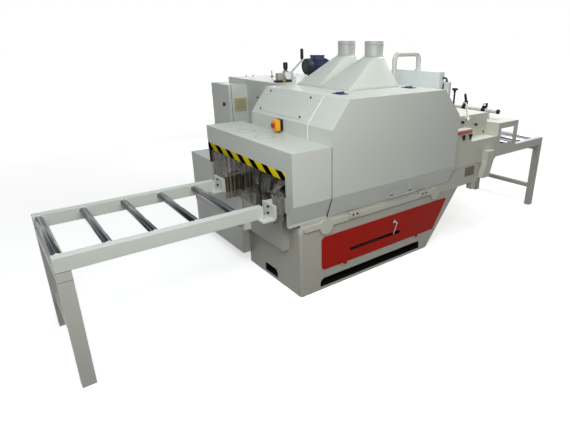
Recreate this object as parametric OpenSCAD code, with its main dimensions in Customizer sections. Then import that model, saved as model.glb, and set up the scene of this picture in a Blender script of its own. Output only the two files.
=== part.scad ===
// Multi rip saw with roller tables: a chain-fed gang saw that rips boards into strips.
// Millimetres, +Z up. Origin on the floor under the middle of the base.
// Boards travel along +X, the operator stands on the -Y side.

/* [Base and bed] */
// Length of the base on the floor
base_l = 1500; // [1300:10:1700]
// Width of the base
base_w = 820; // [760:10:880]
// Height of the base under the bed casting
base_h = 545; // [500:5:580]
// How far the outfeed end of the base leans out at its top
base_flare = 440; // [300:10:460]
// Radius of the upright corner at the infeed end
base_corner_r = 80; // [30:5:120]
// Thickness of the bed casting
bed_t = 95; // [80:5:105]
// Length of bed that stands out past the base at the outfeed end
bed_over = 333; // [250:1:400]
// Height of the fork slots
fork_h = 75; // [50:1:90]
// Thickness of the floor plate under the fork slots
fork_floor = 26; // [15:1:40]
// Depth of the apron in front of the base
apron_d = 52; // [30:1:70]
// Height of the apron
apron_h = 272; // [200:1:300]

/* [Clean-out panel] */
// Height of the panel's lower edge over the floor
panel_z = 180; // [150:1:200]
// Distance from the panel's top edge up to the bed casting
panel_drop = 75; // [60:1:120]
// Length of the panel along its lower edge
panel_l = 1372; // [1100:1:1400]
// Thickness of the panel
panel_t = 8; // [4:1:12]
// Overlap of the panel round the opening behind it
panel_lap = 25; // [15:1:40]
// Length of the latch lever
latch_l = 136; // [80:1:150]

/* [Board path] */
// Height of the roller tops and table rails
rail_top = 850; // [820:1:900]
// Outer width of the roller tables
table_w = 834; // [780:2:880]
// Height of a table rail
rail_h = 86; // [70:1:100]
// Width of a table rail
rail_w = 60; // [40:1:70]
// Wall of the table tubes
tube_t = 4; // [2:0.5:6]
// Length of the infeed rails
infeed_l = 1269; // [1200:1:1400]
// Length of the outfeed rails
outfeed_l = 983; // [940:1:1200]
// Diameter of the table rollers
roller_d = 50; // [40:1:60]
// Diameter of the roller shafts
roller_shaft_d = 20; // [12:1:25]
// Distance from the last infeed roller to the end of its rails
infeed_rest = 184; // [60:1:220]
// Distance from the outfeed bed to the first outfeed roller
outfeed_first = 161; // [60:1:200]
// Width of a table leg along the feed
leg_w = 78; // [60:1:90]
// Height of the tube that ties two legs together at the top
leg_tie_h = 59; // [40:1:80]
// Height of the brace between two legs
brace_z = 243; // [150:1:400]

/* [Hoods] */
// Sheet thickness of hoods and cabinets
sheet = 4; // [3:0.5:6]
// Length of the main hood
hood_l = 1495; // [1300:5:1600]
// Height of the main hood's top over the boards
hood_up = 683; // [620:1:760]
// Setback of the main hood from the infeed end of the base
hood_set = 255; // [200:1:300]
// Overhang of the hood past the base on the operator's side
hood_out = 73; // [50:1:90]
// Overhang of the hood on the far side
hood_back = 287; // [250:1:320]
// Width of the hinged door along the top
door_w = 313; // [280:1:340]
// Length of the infeed hood
infeed_hood_l = 354; // [250:1:400]
// Height of the infeed hood's top over the boards
infeed_hood_up = 356; // [300:1:380]
// Height of the feed opening over the boards
feed_open = 142; // [110:1:180]
// Diameter of the dust pipes
dust_d = 170; // [140:5:200]
// Height of the dust chutes up to the pipes
chute_h = 267; // [200:1:320]
// Length of the round dust pipes
dust_pipe_l = 125; // [80:1:150]

/* [Cabinets] */
// Width of the drive cabinet behind the hood
cabinet_w = 1218; // [1000:1:1300]
// Setback of the drive cabinet from the main hood's front wall
cabinet_set = 387; // [350:1:420]
// Depth of the electrical box
ebox_d = 214; // [150:1:250]
// Width of the electrical box
ebox_w = 419; // [350:1:450]
// Height of the electrical box
ebox_h = 600; // [450:5:620]
// Width of the low side cabinet
side_w = 1011; // [900:1:1050]
// Clear height under the side cabinet
side_clear = 99; // [60:1:150]

/* [Saw and drive] */
// Diameter of the saw blades
blade_d = 300; // [250:5:330]
// Thickness of a saw blade
blade_t = 3; // [2:0.5:5]
// Distance from blade to blade
blade_pitch = 80; // [60:1:85]
// Diameter of the saw arbor
arbor_d = 70; // [50:1:80]
// Diameter of the arbor's belt pulley
arbor_pulley_d = 160; // [120:2:180]
// Diameter of the motor's belt pulley
motor_pulley_d = 220; // [180:2:240]
// Diameter of the drive motor
motor_d = 340; // [280:5:360]
// Diameter of the pressure rollers
press_d = 110; // [80:1:130]
// Width of the feed chain
chain_w = 340; // [260:5:400]
// Thickness of the feed chain
chain_t = 12; // [8:1:20]

/* [Outfeed and controls] */
// Length of the outfeed bed
out_bed_l = 802; // [700:1:850]
// Height of the outfeed shelf over the boards
out_shelf_up = 140; // [100:1:180]
// Height of the outfeed cover's top over the boards
out_cover_up = 368; // [320:1:420]
// Half width of the outfeed channel
out_half = 250; // [220:1:280]
// Length of the outfeed guard
guard_l = 371; // [320:1:420]
// Height of the outfeed guard over the rails
guard_h = 272; // [220:1:300]
// Diameter of the cross bar over the outfeed guard
bar_d = 48; // [30:1:56]
// Diameter of the pendant's pipe arm
arm_pipe_d = 50; // [35:1:60]
// Width of the control pendant
pendant_w = 608; // [420:1:640]
// Height of the control pendant
pendant_h = 195; // [150:1:210]

/* [Hidden] */
$fn = 48;
eps = 1;
run_fit = 0.05;
gap = 0.5;
paint = [0.78, 0.79, 0.76];
dark = [0.12, 0.13, 0.14];
navy = [0.10, 0.13, 0.30];
bright = [0.80, 0.81, 0.82];
steel = [0.45, 0.47, 0.48];
deep_red = [0.62, 0.10, 0.08];
yellow = [0.93, 0.72, 0.08];

// Base and bed planes
base_x0 = -base_l / 2;
base_x1 = base_l / 2;
side_y = base_w / 2;
bed_z = base_h + bed_t;
bed_x1 = base_x1 + base_flare + bed_over;
base_side = [[base_x0, 0], [base_x1, 0], [base_x1 + base_flare, base_h], [base_x0, base_h]];
fork_x = [base_x0 + 193, base_x1 - 106];
fork_pocket_w = 200;
fork_pocket_y = -61;
bed_wall = 110;
bed_floor = 20;
apron_y0 = -252;
base_wall = 20;
// Hollow of the base over the fork slots, clear of the rounded corner
chamber_z = fork_floor + fork_h;
chamber_x0 = base_x0 + base_corner_r / 2;
chamber = [[chamber_x0, chamber_z], [base_x1 + base_flare * chamber_z / base_h, chamber_z],
  [base_x1 + base_flare, base_h], [chamber_x0, base_h]];

// Clean-out panel: its slanted end follows the leaning end of the base, a little steeper
panel_x = base_x0 + 205;
panel_h = base_h - panel_z - panel_drop;
panel_steep = 0.79;
panel_lean = base_flare / base_h * panel_h * panel_steep;
panel_shape = [[panel_x, panel_z], [panel_x + panel_l, panel_z],
  [panel_x + panel_l + panel_lean, panel_z + panel_h], [panel_x, panel_z + panel_h]];
panel_y0 = -side_y - gap - panel_t;
panel_hinge_x = [panel_x + 240, panel_x + panel_l - 240];
panel_hinge_r = 7;
panel_pin_r = 4;
panel_hinge_y = -side_y - panel_hinge_r - eps;
panel_hinge_z = panel_z - panel_hinge_r - 3;
knuckle_w = 40;
ear_w = 25;
latch_x = panel_x + 815;
latch_z = panel_z + panel_h - 66;
latch_r = 18;
latch_pin_r = 6;
slot_x = [panel_x + 292, panel_x + 899];
slot_h = 31;
slot_z = [panel_z + 0.3 * panel_h + eps, panel_z + 0.3 * panel_h + eps + slot_h];

// Hood planes
hood_x0 = base_x0 + hood_set;
hood_x1 = hood_x0 + hood_l;
hood_near = -side_y - hood_out;
hood_far = side_y + hood_back;
hood_z = rail_top + hood_up;
door_y = hood_near + door_w;
fold_z = rail_top - 39;
hem_z = bed_z - 5;
hem_y = -side_y - 10;
shelf_z = rail_top + 12;
front_slope = [167, 212];
rear_slope = [236, 238];
infeed_z = rail_top + infeed_hood_up;
infeed_x0 = hood_x0 - infeed_hood_l;
infeed_far = hood_far + 212;
lap = 16;
feed_z = rail_top + feed_open;
rear_sill = rail_top + out_cover_up + 4;

// Feed chain bed
arm_w = 60;
arm_y1 = side_y - 25;
arm_y0 = arm_y1 - arm_w;
arm_x0 = base_x0 - 245;
arm_z0 = rail_top - 105;
arm_z1 = rail_top + 10;
chain_top = rail_top - 5;
chain_r = (chain_top - bed_z - 5) / 2;
drum_z = chain_top - chain_r;
drum_clear = 30;
drum_x = [base_x0 + drum_clear + chain_r, hood_x1 - drum_clear - chain_r];
drum_shaft_r = 20;
drum_r = chain_r - chain_t - 0.3;

// Strip curtain
lug_w = 10;
curtain_rod_r = 6;
curtain_x = infeed_x0 + sheet + 14;
curtain_z = feed_z + 24;
curtain_lugs = [-arm_y1 - 2, infeed_far - sheet - 14];
strip_w = 50;
strip_step = 46;
strip_t = 2;
strip_low = bed_z + 12;
strip_high = shelf_z + 10;
strip_n = floor((curtain_lugs[1] - curtain_lugs[0] - lug_w - 2 * gap - strip_w) / strip_step);

// Cabinets
cab_x0 = hood_x0 + cabinet_set;
cab_x1 = hood_x1;
cab_y1 = hood_far + cabinet_w;
ebox_x0 = cab_x0 - ebox_d;
ebox_y0 = cab_y1 - ebox_w;
ebox_z1 = hood_z - 53;
ebox_z0 = ebox_z1 - ebox_h;
edoor_t = 22;
edoor_x1 = ebox_x0 + edoor_t;
ehinge_r = 6;
ehinge_pin_r = 3;
ehinge_y = cab_y1 + ehinge_r + eps;
ehinge_x = edoor_x1;
ehinge_z = [ebox_z0 + 90, ebox_z1 - 140];
ehinge_l = 25;
side_x0 = base_x0 - 71;
side_y1 = side_y + side_w;

// Saw and drive
arbor_x = base_x1 - 500;
arbor_r = arbor_d / 2;
blade_n = 5;
arbor_z = chain_top + 2 + blade_d / 2;
collar_r = arbor_r + 15;
arbor_y0 = -205;
pulley_y = [hood_far + 63, hood_far + 183];
belt_n = 4;
belt_t = 12;
belt_w = 18;
flange_t = 6;
motor_plate_z = 60;
motor_plate_t = 20;
motor_z = motor_plate_z + motor_plate_t + motor_d / 2 + 20;
motor_y = [pulley_y[1] + 70, pulley_y[1] + 620];
motor_shaft_r = 24;
press_x = [arbor_x - blade_d / 2 - 110, arbor_x + blade_d / 2 + 110];
press_r = press_d / 2;
press_z = rail_top + 3 + press_r;
press_shaft_r = 20;
pedestal_y = [side_y + 90, hood_far - sheet - 3];

// Tables
table_y = table_w / 2;
rail_z0 = rail_top - rail_h;
rail_in = table_y - rail_w;
infeed_x1 = arm_x0 - 59;
infeed_end = infeed_x1 - infeed_l;
out_x0 = hood_x1 + eps;
out_x1 = out_x0 + out_bed_l;
outfeed_end = out_x1 + outfeed_l;
roller_r = roller_d / 2;
roller_shaft_r = roller_shaft_d / 2;
roller_z = rail_top - roller_r;
roller_side_gap = 1;
shaft_in = 30;
roller_inset = 33;
infeed_roller_n = 5;
outfeed_roller_n = 4;
infeed_pitch = (infeed_l - roller_inset - infeed_rest) / (infeed_roller_n - 1);
infeed_rollers = [for (i = [0:infeed_roller_n - 1]) infeed_end + roller_inset + i * infeed_pitch];
outfeed_pitch = (outfeed_l - outfeed_first - roller_inset) / (outfeed_roller_n - 1);
outfeed_rollers = [for (i = [0:outfeed_roller_n - 1]) out_x1 + outfeed_first + i * outfeed_pitch];
bracket_t = 12;
bracket_y1 = table_y + 61;
bolt_r = 9;

// Outfeed housing
shelf_out_z = rail_top + out_shelf_up;
cover_z = rail_top + out_cover_up;
out_wall = 8;
out_y = side_y + 5;
out_sill = rail_top - 105;
channel_z = rail_top - 2;
panel_box = [out_x0 + 329, 85, 130];
knob_x = [out_x0 + 180, out_x0 + 288];
knob_z = shelf_out_z + 68;
knob_pin_r = 5;
lever_x = out_x0 + 423;
lever_z = cover_z - 26;
lever_pin_r = 9;
star_x = out_x0 + 544;
star_r = 10;
guard_x0 = out_x1 + 6;
guard_x1 = guard_x0 + guard_l;
guard_z = rail_top + guard_h;
bar_x = guard_x0 + 181;
bar_z = guard_z + 83;
bar_r = bar_d / 2;
bar_y = [-out_y + 142, out_y - 15];
post_y = [-150, 290];
clamp_y = [-90, 170];
clamp_w = 44;

// Door hinges, pendant and top fittings
hinge_x = [hood_x0 + 326, hood_x0 + 1130];
hinge_l = 78;
hinge_r = 8;
hinge_pin_r = 3;
hinge_y = door_y + gap / 2;
hinge_z = hood_z + hinge_r + 0.3;
leaf_t = 4;
leaf_w = 60;
pend_x = hood_x1 + 34;
pend_y = 85;
pend_riser_x = hood_x1 - 300;
pend_top = hood_z + 279;
pend_box_top = hood_z + 122;
pend_d = 70;
pend_socket = 20;
arm_r = arm_pipe_d / 2;
arm_bend = 55;
crank_x = cab_x0 + 288;
crank_y = hood_far + 353;
crank_pin_r = 15;
crank_base_h = 40;
crank_hub_r = 26;
chute_x = [hood_x0 + 495, hood_x0 + 1105];
chute_y = [[-75, 340], [345, hood_far - 7]];
chute_pipe_x = hood_x0 + 970;
chute_t = 3;
pipe_t = 2;
estop_y = 210;
estop_z = (infeed_z + hood_z - front_slope[1]) / 2 + 8;
estop_w = 80;
estop_h = 94;
estop_d = 65;
estop_stem_r = 8;

// Outward unit normal of the edge from a to b of a counterclockwise outline
function edge_normal(a, b) = [b[1] - a[1], a[0] - b[0]] / norm(b - a);
// Step from a corner to its mitred copy, one unit to the outside
function mitre(a, b, c) =
  let (m = edge_normal(a, b), n = edge_normal(b, c)) (m + n) / (1 + m * n);
// Closed outline moved inwards by t
function inset(p, t) =
  let (n = len(p))
  [for (i = [0:n - 1]) p[i] - t * mitre(p[(i + n - 1) % n], p[i], p[(i + 1) % n])];
// Strip of thickness t on the right-hand side of an open line
function band(p, t) =
  let (n = len(p) - 1, inner = [for (i = [n:-1:0])
    i == 0 ? p[0] + t * edge_normal(p[0], p[1])
    : i == n ? p[n] + t * edge_normal(p[n - 1], p[n])
    : p[i] + t * mitre(p[i - 1], p[i], p[i + 1])])
  concat(p, inner);
// Closed outline with its corners rounded to radius r
function rounded(p, r, steps = 6) =
  let (n = len(p))
  [for (i = [0:n - 1])
    let (b = p[i], u = (p[(i + n - 1) % n] - b) / norm(p[(i + n - 1) % n] - b),
      v = (p[(i + 1) % n] - b) / norm(p[(i + 1) % n] - b), half = acos(u * v) / 2,
      centre = b + (u + v) / norm(u + v) * r / sin(half), q = b + u * r / tan(half) - centre,
      start = atan2(q[1], q[0]))
    for (k = [0:steps]) centre + r * [cos(start + k * (180 - 2 * half) / steps),
      sin(start + k * (180 - 2 * half) / steps)]];

// Outline drawn in Y and Z, run along X
module along_x(x0, x1) {
  translate([x0, 0, 0]) rotate([90, 0, 90]) linear_extrude(x1 - x0) children();
}
// Outline drawn in X and Z, run along Y
module along_y(y0, y1) {
  translate([0, y1, 0]) rotate([90, 0, 0]) linear_extrude(y1 - y0) children();
}
// Outline drawn in X and Y, run along Z
module along_z(z0, z1) {
  translate([0, 0, z0]) linear_extrude(z1 - z0) children();
}
module box(x, y, z) {
  translate([x[0], y[0], z[0]]) cube([x[1] - x[0], y[1] - y[0], z[1] - z[0]]);
}
module rod_x(y, z, r, x0, x1) {
  translate([x0, y, z]) rotate([0, 90, 0]) cylinder(r = r, h = x1 - x0);
}
module rod_y(x, z, r, y0, y1) {
  translate([x, y1, z]) rotate([90, 0, 0]) cylinder(r = r, h = y1 - y0);
}
module rod_z(x, y, r, z0, z1) {
  translate([x, y, z0]) cylinder(r = r, h = z1 - z0);
}
// Copies on both sides of the feed line
module both_sides() {
  children();
  mirror([0, 1, 0]) children();
}

// Plan of base and bed with the operator's infeed corner rounded off
module body_plan(x1) {
  difference() {
    translate([base_x0, -side_y]) square([x1 - base_x0, base_w]);
    translate([base_x0, -side_y]) difference() {
      translate([-eps, -eps]) square(base_corner_r + eps);
      translate([base_corner_r, base_corner_r]) circle(base_corner_r);
    }
  }
}

// Hinge ears and pin that carry one end of the clean-out panel
module panel_ears(x) {
  for (s = [-1, 1]) {
    a = x + s * (knuckle_w / 2 + gap);
    b = x + s * (knuckle_w / 2 + gap + ear_w);
    rod_x(panel_hinge_y, panel_hinge_z, panel_hinge_r, min(a, b), max(a, b));
    box([min(a, b), max(a, b)], [panel_hinge_y, -side_y + eps],
      [panel_hinge_z - panel_hinge_r, panel_hinge_z]);
  }
  rod_x(panel_hinge_y, panel_hinge_z, panel_pin_r, x - knuckle_w / 2 - ear_w, x + knuckle_w / 2 + ear_w);
}

module base_frame() {
  color(paint) union() {
    difference() {
      union() {
        intersection() {
          along_y(-side_y, side_y) polygon(base_side);
          along_z(0, base_h) body_plan(base_x1 + base_flare + eps);
        }
        box([base_x0 - apron_d, base_x0], [apron_y0, side_y], [bed_z - apron_h, bed_z]);
        // Keeps the apron in one piece with the base, whatever the height
        box([base_x0 - eps, base_x0 + eps], [apron_y0, side_y - eps], [bed_z - apron_h, base_h - eps]);
      }
      box(fork_x, [-side_y - eps, side_y + eps], [fork_floor, fork_floor + fork_h]);
      box([base_x0 - eps, fork_x[0] + eps], [fork_pocket_y, fork_pocket_y + fork_pocket_w],
        [fork_floor, fork_floor + fork_h]);
      along_y(-side_y - eps, 0) polygon(inset(panel_shape, panel_lap));
      along_y(-side_y + base_wall, side_y - base_wall) polygon(inset(chamber, base_wall));
    }
    for (x = panel_hinge_x) panel_ears(x);
  }
}

module bed_casting() {
  ledge_z = bed_z - 61;
  ledge_r = 21;
  ledge_d = 20;
  boss_x = [base_x0 + 245, base_x1 + 70];
  boss_r = 65;
  block_x = [base_x0 + 470, base_x1 - 177];
  block_l = 114;
  lug_x = [bed_x1 - 98, bed_x1 - 23];
  lug_d = 60;
  lug_h = 75;
  color(paint) {
    difference() {
      along_z(base_h, bed_z) body_plan(bed_x1);
      box([base_x0 + bed_wall, hood_x1 - bed_wall], [-side_y + bed_wall, side_y - bed_wall],
        [base_h + bed_floor, bed_z + eps]);
    }
    // Raised end under the outfeed housing and the lug below it
    difference() {
      box([out_x0, bed_x1], [-side_y, side_y], [bed_z - eps, out_sill]);
      box([out_x0 + bed_floor, bed_x1 - bed_floor], [-side_y + bed_floor, side_y - bed_floor],
        [bed_z, out_sill + eps]);
    }
    box(lug_x, [-side_y, -side_y + lug_d], [base_h - lug_h, base_h + eps]);
    along_y(-side_y - ledge_d, -side_y) union() {
      translate([base_x0 + 50, ledge_z]) circle(ledge_r);
      translate([base_x0 + 50, ledge_z - ledge_r]) square([base_l + 100, 2 * ledge_r]);
      for (x = boss_x) translate([x, ledge_z - 19]) circle(boss_r);
    }
    for (x = block_x) {
      box([x, x + block_l], [-side_y - 34, -side_y - ledge_d], [bed_z - 63, bed_z - 10]);
      for (b = [0.3, 0.7]) rod_y(x + b * block_l, bed_z - 36, bolt_r, -side_y - 40, -side_y - 34);
    }
  }
}

module cover_panel() {
  color(deep_red) difference() {
    union() {
      along_y(panel_y0, panel_y0 + panel_t) polygon(rounded(panel_shape, panel_lap));
      for (x = panel_hinge_x) {
        rod_x(panel_hinge_y, panel_hinge_z, panel_hinge_r, x - knuckle_w / 2, x + knuckle_w / 2);
        box([x - knuckle_w / 2, x + knuckle_w / 2],
          [panel_hinge_y - panel_pin_r, panel_hinge_y + panel_pin_r], [panel_hinge_z, panel_z + eps]);
      }
    }
    for (x = panel_hinge_x) {
      rod_x(panel_hinge_y, panel_hinge_z, panel_pin_r + run_fit, x - knuckle_w, x + knuckle_w);
    }
    box(slot_x, [panel_y0 - eps, panel_y0 + panel_t + eps], slot_z);
    rod_y(latch_x, latch_z, latch_pin_r + run_fit, panel_y0 - eps, panel_y0 + panel_t + eps);
  }
}

module panel_latch() {
  face = panel_y0 - 0.3;
  color(bright) {
    rod_y(latch_x, latch_z, latch_r, face - 14, face);
    rod_y(latch_x, latch_z, latch_pin_r, face - 1, panel_y0 + panel_t);
    box([latch_x - 9, latch_x + 9], [face - 14, face - 7], [latch_z - latch_l, latch_z]);
    rod_y(latch_x, latch_z - latch_l, 12, face - 16, face - 5);
  }
}

module feed_rails() {
  color(paint) both_sides() difference() {
    union() {
      box([base_x0, hood_x1], [arm_y0, arm_y1], [bed_z, arm_z1]);
      box([arm_x0, base_x0 + eps], [arm_y0, arm_y1], [arm_z0, arm_z1]);
      box([arm_x0, arm_x0 + bracket_t], [arm_y0, bracket_y1], [rail_z0, arm_z1]);
    }
    for (x = drum_x) rod_y(x, drum_z, drum_shaft_r + run_fit, arm_y0 - eps, arm_y1 + eps);
  }
}

// Race track outline of the feed chain at radius r
module chain_loop(r) {
  for (x = drum_x) translate([x, drum_z]) circle(r);
  translate([drum_x[0], drum_z - r]) square([drum_x[1] - drum_x[0], 2 * r]);
}

module feed_chain() {
  link = 60;
  groove = 5;
  links = floor((drum_x[1] - drum_x[0]) / link);
  color(steel) difference() {
    along_y(-chain_w / 2, chain_w / 2) difference() {
      chain_loop(chain_r);
      chain_loop(chain_r - chain_t);
    }
    for (i = [0:links]) {
      box([drum_x[0] + i * link, drum_x[0] + i * link + groove], [-chain_w, chain_w],
        [chain_top - groove, chain_top + eps]);
    }
  }
}

module feed_drum(i) {
  color(steel) {
    rod_y(drum_x[i - 1], drum_z, drum_r, -chain_w / 2, chain_w / 2);
    rod_y(drum_x[i - 1], drum_z, drum_shaft_r, -arm_y1, arm_y1);
  }
}

module infeed_hood() {
  near_edge = -arm_y1 - 4;
  seat_y = -side_y - sheet;
  outline = [[seat_y, hem_z - 7], [seat_y, hem_z + 15], [hood_near, fold_z], [hood_near, infeed_z],
    [infeed_far, infeed_z], [infeed_far, shelf_z]];
  color(paint) {
    along_x(infeed_x0 + sheet, hood_x0) polygon(band(outline, sheet));
    difference() {
      along_x(infeed_x0, infeed_x0 + sheet) polygon(outline);
      box([infeed_x0 - eps, infeed_x0 + sheet + eps], [near_edge, infeed_far - sheet], [0, feed_z]);
    }
    box([hood_x0 - sheet, hood_x0], [hood_far, infeed_far - sheet], [shelf_z, infeed_z - sheet]);
    for (y = curtain_lugs) difference() {
      box([infeed_x0 + sheet, curtain_x + 14], [y, y + lug_w], [curtain_z - 12, curtain_z + 12]);
      rod_y(curtain_x, curtain_z, curtain_rod_r + run_fit, y - eps, y + lug_w + eps);
    }
  }
}

// Curtain of clear strips that hangs from a rod behind the hood's front edge
module strip_curtain() {
  y_first = curtain_lugs[0] + lug_w + gap + 1;
  color([0.75, 0.78, 0.78, 0.5]) {
    rod_y(curtain_x, curtain_z, curtain_rod_r, curtain_lugs[0], curtain_lugs[1] + lug_w);
    for (i = [0:strip_n]) {
      y0 = y_first + i * strip_step;
      over_rail = abs(y0 + strip_w / 2) > arm_y0 - strip_w;
      x0 = curtain_x + (i % 2 == 0 ? -strip_t - 0.5 : 0.5);
      box([x0, x0 + strip_t], [y0, y0 + strip_w], [over_rail ? strip_high : strip_low, curtain_z]);
    }
  }
}

// Side view of the main hood, closed at height z0
function hood_profile(z0) = [[hood_x0, z0], [hood_x1, z0], [hood_x1, hood_z - rear_slope[1]],
  [hood_x1 - rear_slope[0], hood_z], [hood_x0 + front_slope[0], hood_z], [hood_x0, hood_z - front_slope[1]]];

// Mouths where boards pass through the hood's end walls
module hood_mouths(y0, rear_y0, rear_y1) {
  box([hood_x0 - eps, hood_x0 + sheet + eps], [y0, hood_far - sheet], [0, infeed_z - lap]);
  box([hood_x1 - sheet - eps, hood_x1 + eps], [rear_y0, rear_y1], [0, rear_sill]);
}

module main_hood() {
  y0 = door_y + gap;
  color(paint) difference() {
    along_y(y0, hood_far) polygon(hood_profile(shelf_z));
    along_y(y0 - eps, hood_far - sheet) polygon(inset(hood_profile(shelf_z - 50), sheet));
    hood_mouths(y0 - eps, y0 - eps, out_half + 12);
    for (c = chute_y) {
      box([chute_x[0] + 30, chute_x[1] - 30], [c[0] + 30, c[1] - 30], [hood_z - 2 * sheet, hood_z + eps]);
    }
    rod_y(arbor_x, arbor_z, collar_r, hood_far - 2 * sheet, hood_far + eps);
  }
}

// Operator's side of the hood: section across the feed, grown downwards and to the far side by e
function door_section(e) =
  let (lean = (hem_y - hood_near) / (fold_z - hem_z))
  [[hem_y + lean * e, hem_z - e], [door_y + e, hem_z - e], [door_y + e, hood_z], [hood_near, hood_z],
    [hood_near, fold_z]];

module hood_door() {
  x_gap = 1;
  color(paint) difference() {
    intersection() {
      along_y(hood_near, door_y) polygon(hood_profile(hem_z));
      along_x(hood_x0 + x_gap, hood_x1) polygon(door_section(0));
    }
    intersection() {
      along_y(hood_near, door_y + eps) polygon(inset(hood_profile(hem_z - 50), sheet));
      along_x(hood_x0, hood_x1) polygon(inset(door_section(50), sheet));
    }
    box([hood_x0 - eps, hood_x0 + sheet + eps], [hood_near + sheet, door_y + eps], [0, infeed_z - lap]);
    box([hood_x1 - sheet - eps, hood_x1 + eps], [-side_y - 9, door_y + eps], [0, rear_sill]);
  }
}

// Bar handle on the tapered hem of the door, square to its sheet
module door_handle() {
  post_x = [hood_x0 + 674, hood_x0 + 905];
  bar_over = 52;
  post_r = 7;
  stand = 45;
  lean = atan2(hem_y - hood_near, fold_z - hem_z);
  z = hem_z + 60;
  y = hem_y - (z - hem_z) * tan(lean);
  color(bright) translate([0, y, z]) rotate([90 + lean, 0, 0]) {
    for (x = post_x) translate([x, 0, 0]) cylinder(r = post_r, h = stand);
    translate([post_x[0] - bar_over, 0, stand]) rotate([0, 90, 0])
      cylinder(r = post_r, h = post_x[1] - post_x[0] + 2 * bar_over);
  }
}

// Hinges: fixed leaves with end knuckles and pins, moving leaves with the middle knuckle
module hinge_leaves() {
  end = hinge_l / 3;
  color(navy) for (x = hinge_x) {
    box([x - hinge_l / 2, x + hinge_l / 2], [hinge_y + hinge_r + 1, hinge_y + leaf_w],
      [hood_z, hood_z + leaf_t]);
    for (a = [x - hinge_l / 2, x + hinge_l / 2 - end]) {
      rod_x(hinge_y, hinge_z, hinge_r, a, a + end);
      box([a, a + end], [hinge_y, hinge_y + hinge_r + 2], [hood_z + 0.3, hood_z + leaf_t]);
    }
    rod_x(hinge_y, hinge_z, hinge_pin_r, x - hinge_l / 2, x + hinge_l / 2);
  }
}

module door_leaves() {
  mid = hinge_l / 6 - gap;
  color(navy) for (x = hinge_x) difference() {
    union() {
      box([x - hinge_l / 2, x + hinge_l / 2], [hinge_y - leaf_w, hinge_y - hinge_r - 1],
        [hood_z, hood_z + leaf_t]);
      rod_x(hinge_y, hinge_z, hinge_r, x - mid, x + mid);
      box([x - mid, x + mid], [hinge_y - hinge_r - 2, hinge_y], [hood_z + 0.3, hood_z + leaf_t]);
    }
    rod_x(hinge_y, hinge_z, hinge_pin_r + run_fit, x - hinge_l, x + hinge_l);
  }
}

// Removable plate on the hood's front slope, held by four screws
module access_plate() {
  tilt = atan2(front_slope[1], front_slope[0]);
  len = norm(front_slope);
  y = [door_y + 115, hood_far - 107];
  margin = [30, 22];
  plate_t = 3;
  screw_in = 18;
  color(paint) translate([hood_x0, 0, hood_z - front_slope[1]]) rotate([0, -tilt, 0]) {
    box([margin[0], len - margin[1]], y, [0, plate_t]);
    for (a = [margin[0] + screw_in, len - margin[1] - screw_in]) {
      for (b = [y[0] + screw_in, y[1] - screw_in]) rod_z(a, b, 6, plate_t, plate_t + 3);
    }
  }
}

// Square-to-round transition from its base on the hood up to its pipe
module chute_body(y, cut) {
  t = cut ? chute_t : 0;
  r = dust_d / 2 - (cut ? pipe_t : 0);
  low = cut ? -eps : 0;
  yc = (y[0] + y[1]) / 2;
  hull() {
    translate([chute_x[0] + t, y[0] + t, hood_z + low])
      cube([chute_x[1] - chute_x[0] - 2 * t, y[1] - y[0] - 2 * t, eps]);
    translate([chute_pipe_x, yc, hood_z + chute_h - eps]) cylinder(r = r, h = eps, $fn = 32);
  }
}

module dust_chutes() {
  neck_z = hood_z + chute_h;
  neck_r = dust_d / 2 - pipe_t;
  color(paint) for (y = chute_y) {
    yc = (y[0] + y[1]) / 2;
    difference() {
      chute_body(y, false);
      chute_body(y, true);
      rod_z(chute_pipe_x, yc, neck_r - 4, neck_z - 20, neck_z + eps);
    }
    difference() {
      rod_z(chute_pipe_x, yc, dust_d / 2, neck_z, neck_z + dust_pipe_l);
      rod_z(chute_pipe_x, yc, neck_r, neck_z - eps, neck_z + dust_pipe_l + eps);
    }
  }
}

function cabinet_section(z0) = [[side_y, z0], [cab_y1, z0], [cab_y1, hood_z], [hood_far, hood_z],
  [hood_far, shelf_z], [side_y, shelf_z]];

module drive_cabinet() {
  color(paint) {
    difference() {
      along_x(cab_x0, cab_x1) polygon(cabinet_section(0));
      along_x(cab_x0 + sheet, cab_x1 - sheet) polygon(inset(cabinet_section(-50), sheet));
      rod_y(arbor_x, arbor_z, collar_r, hood_far - eps, hood_far + 2 * sheet);
    }
    rod_z(crank_x, crank_y, 45, hood_z, hood_z + crank_base_h);
    rod_z(crank_x, crank_y, crank_pin_r, hood_z + crank_base_h, hood_z + crank_base_h + 38);
  }
}

module side_cabinet() {
  color(paint) difference() {
    box([side_x0, cab_x0], [side_y, side_y1], [side_clear, shelf_z]);
    box([side_x0 + sheet, cab_x0 - sheet], [side_y + sheet, side_y1 - sheet],
      [side_clear - eps, shelf_z - sheet]);
  }
}

module electrical_box() {
  color(paint) {
    difference() {
      box([edoor_x1 + gap, cab_x0], [ebox_y0, cab_y1], [ebox_z0, ebox_z1]);
      box([edoor_x1 - eps, cab_x0 - sheet], [ebox_y0 + sheet, cab_y1 - sheet],
        [ebox_z0 + sheet, ebox_z1 - sheet]);
    }
    for (z = ehinge_z) {
      rod_z(ehinge_x, ehinge_y, ehinge_r, z, z + ehinge_l);
      box([ehinge_x + gap, ehinge_x + 25], [cab_y1, ehinge_y], [z, z + ehinge_l]);
      rod_z(ehinge_x, ehinge_y, ehinge_pin_r, z, z + 2 * ehinge_l);
    }
  }
}

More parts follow.
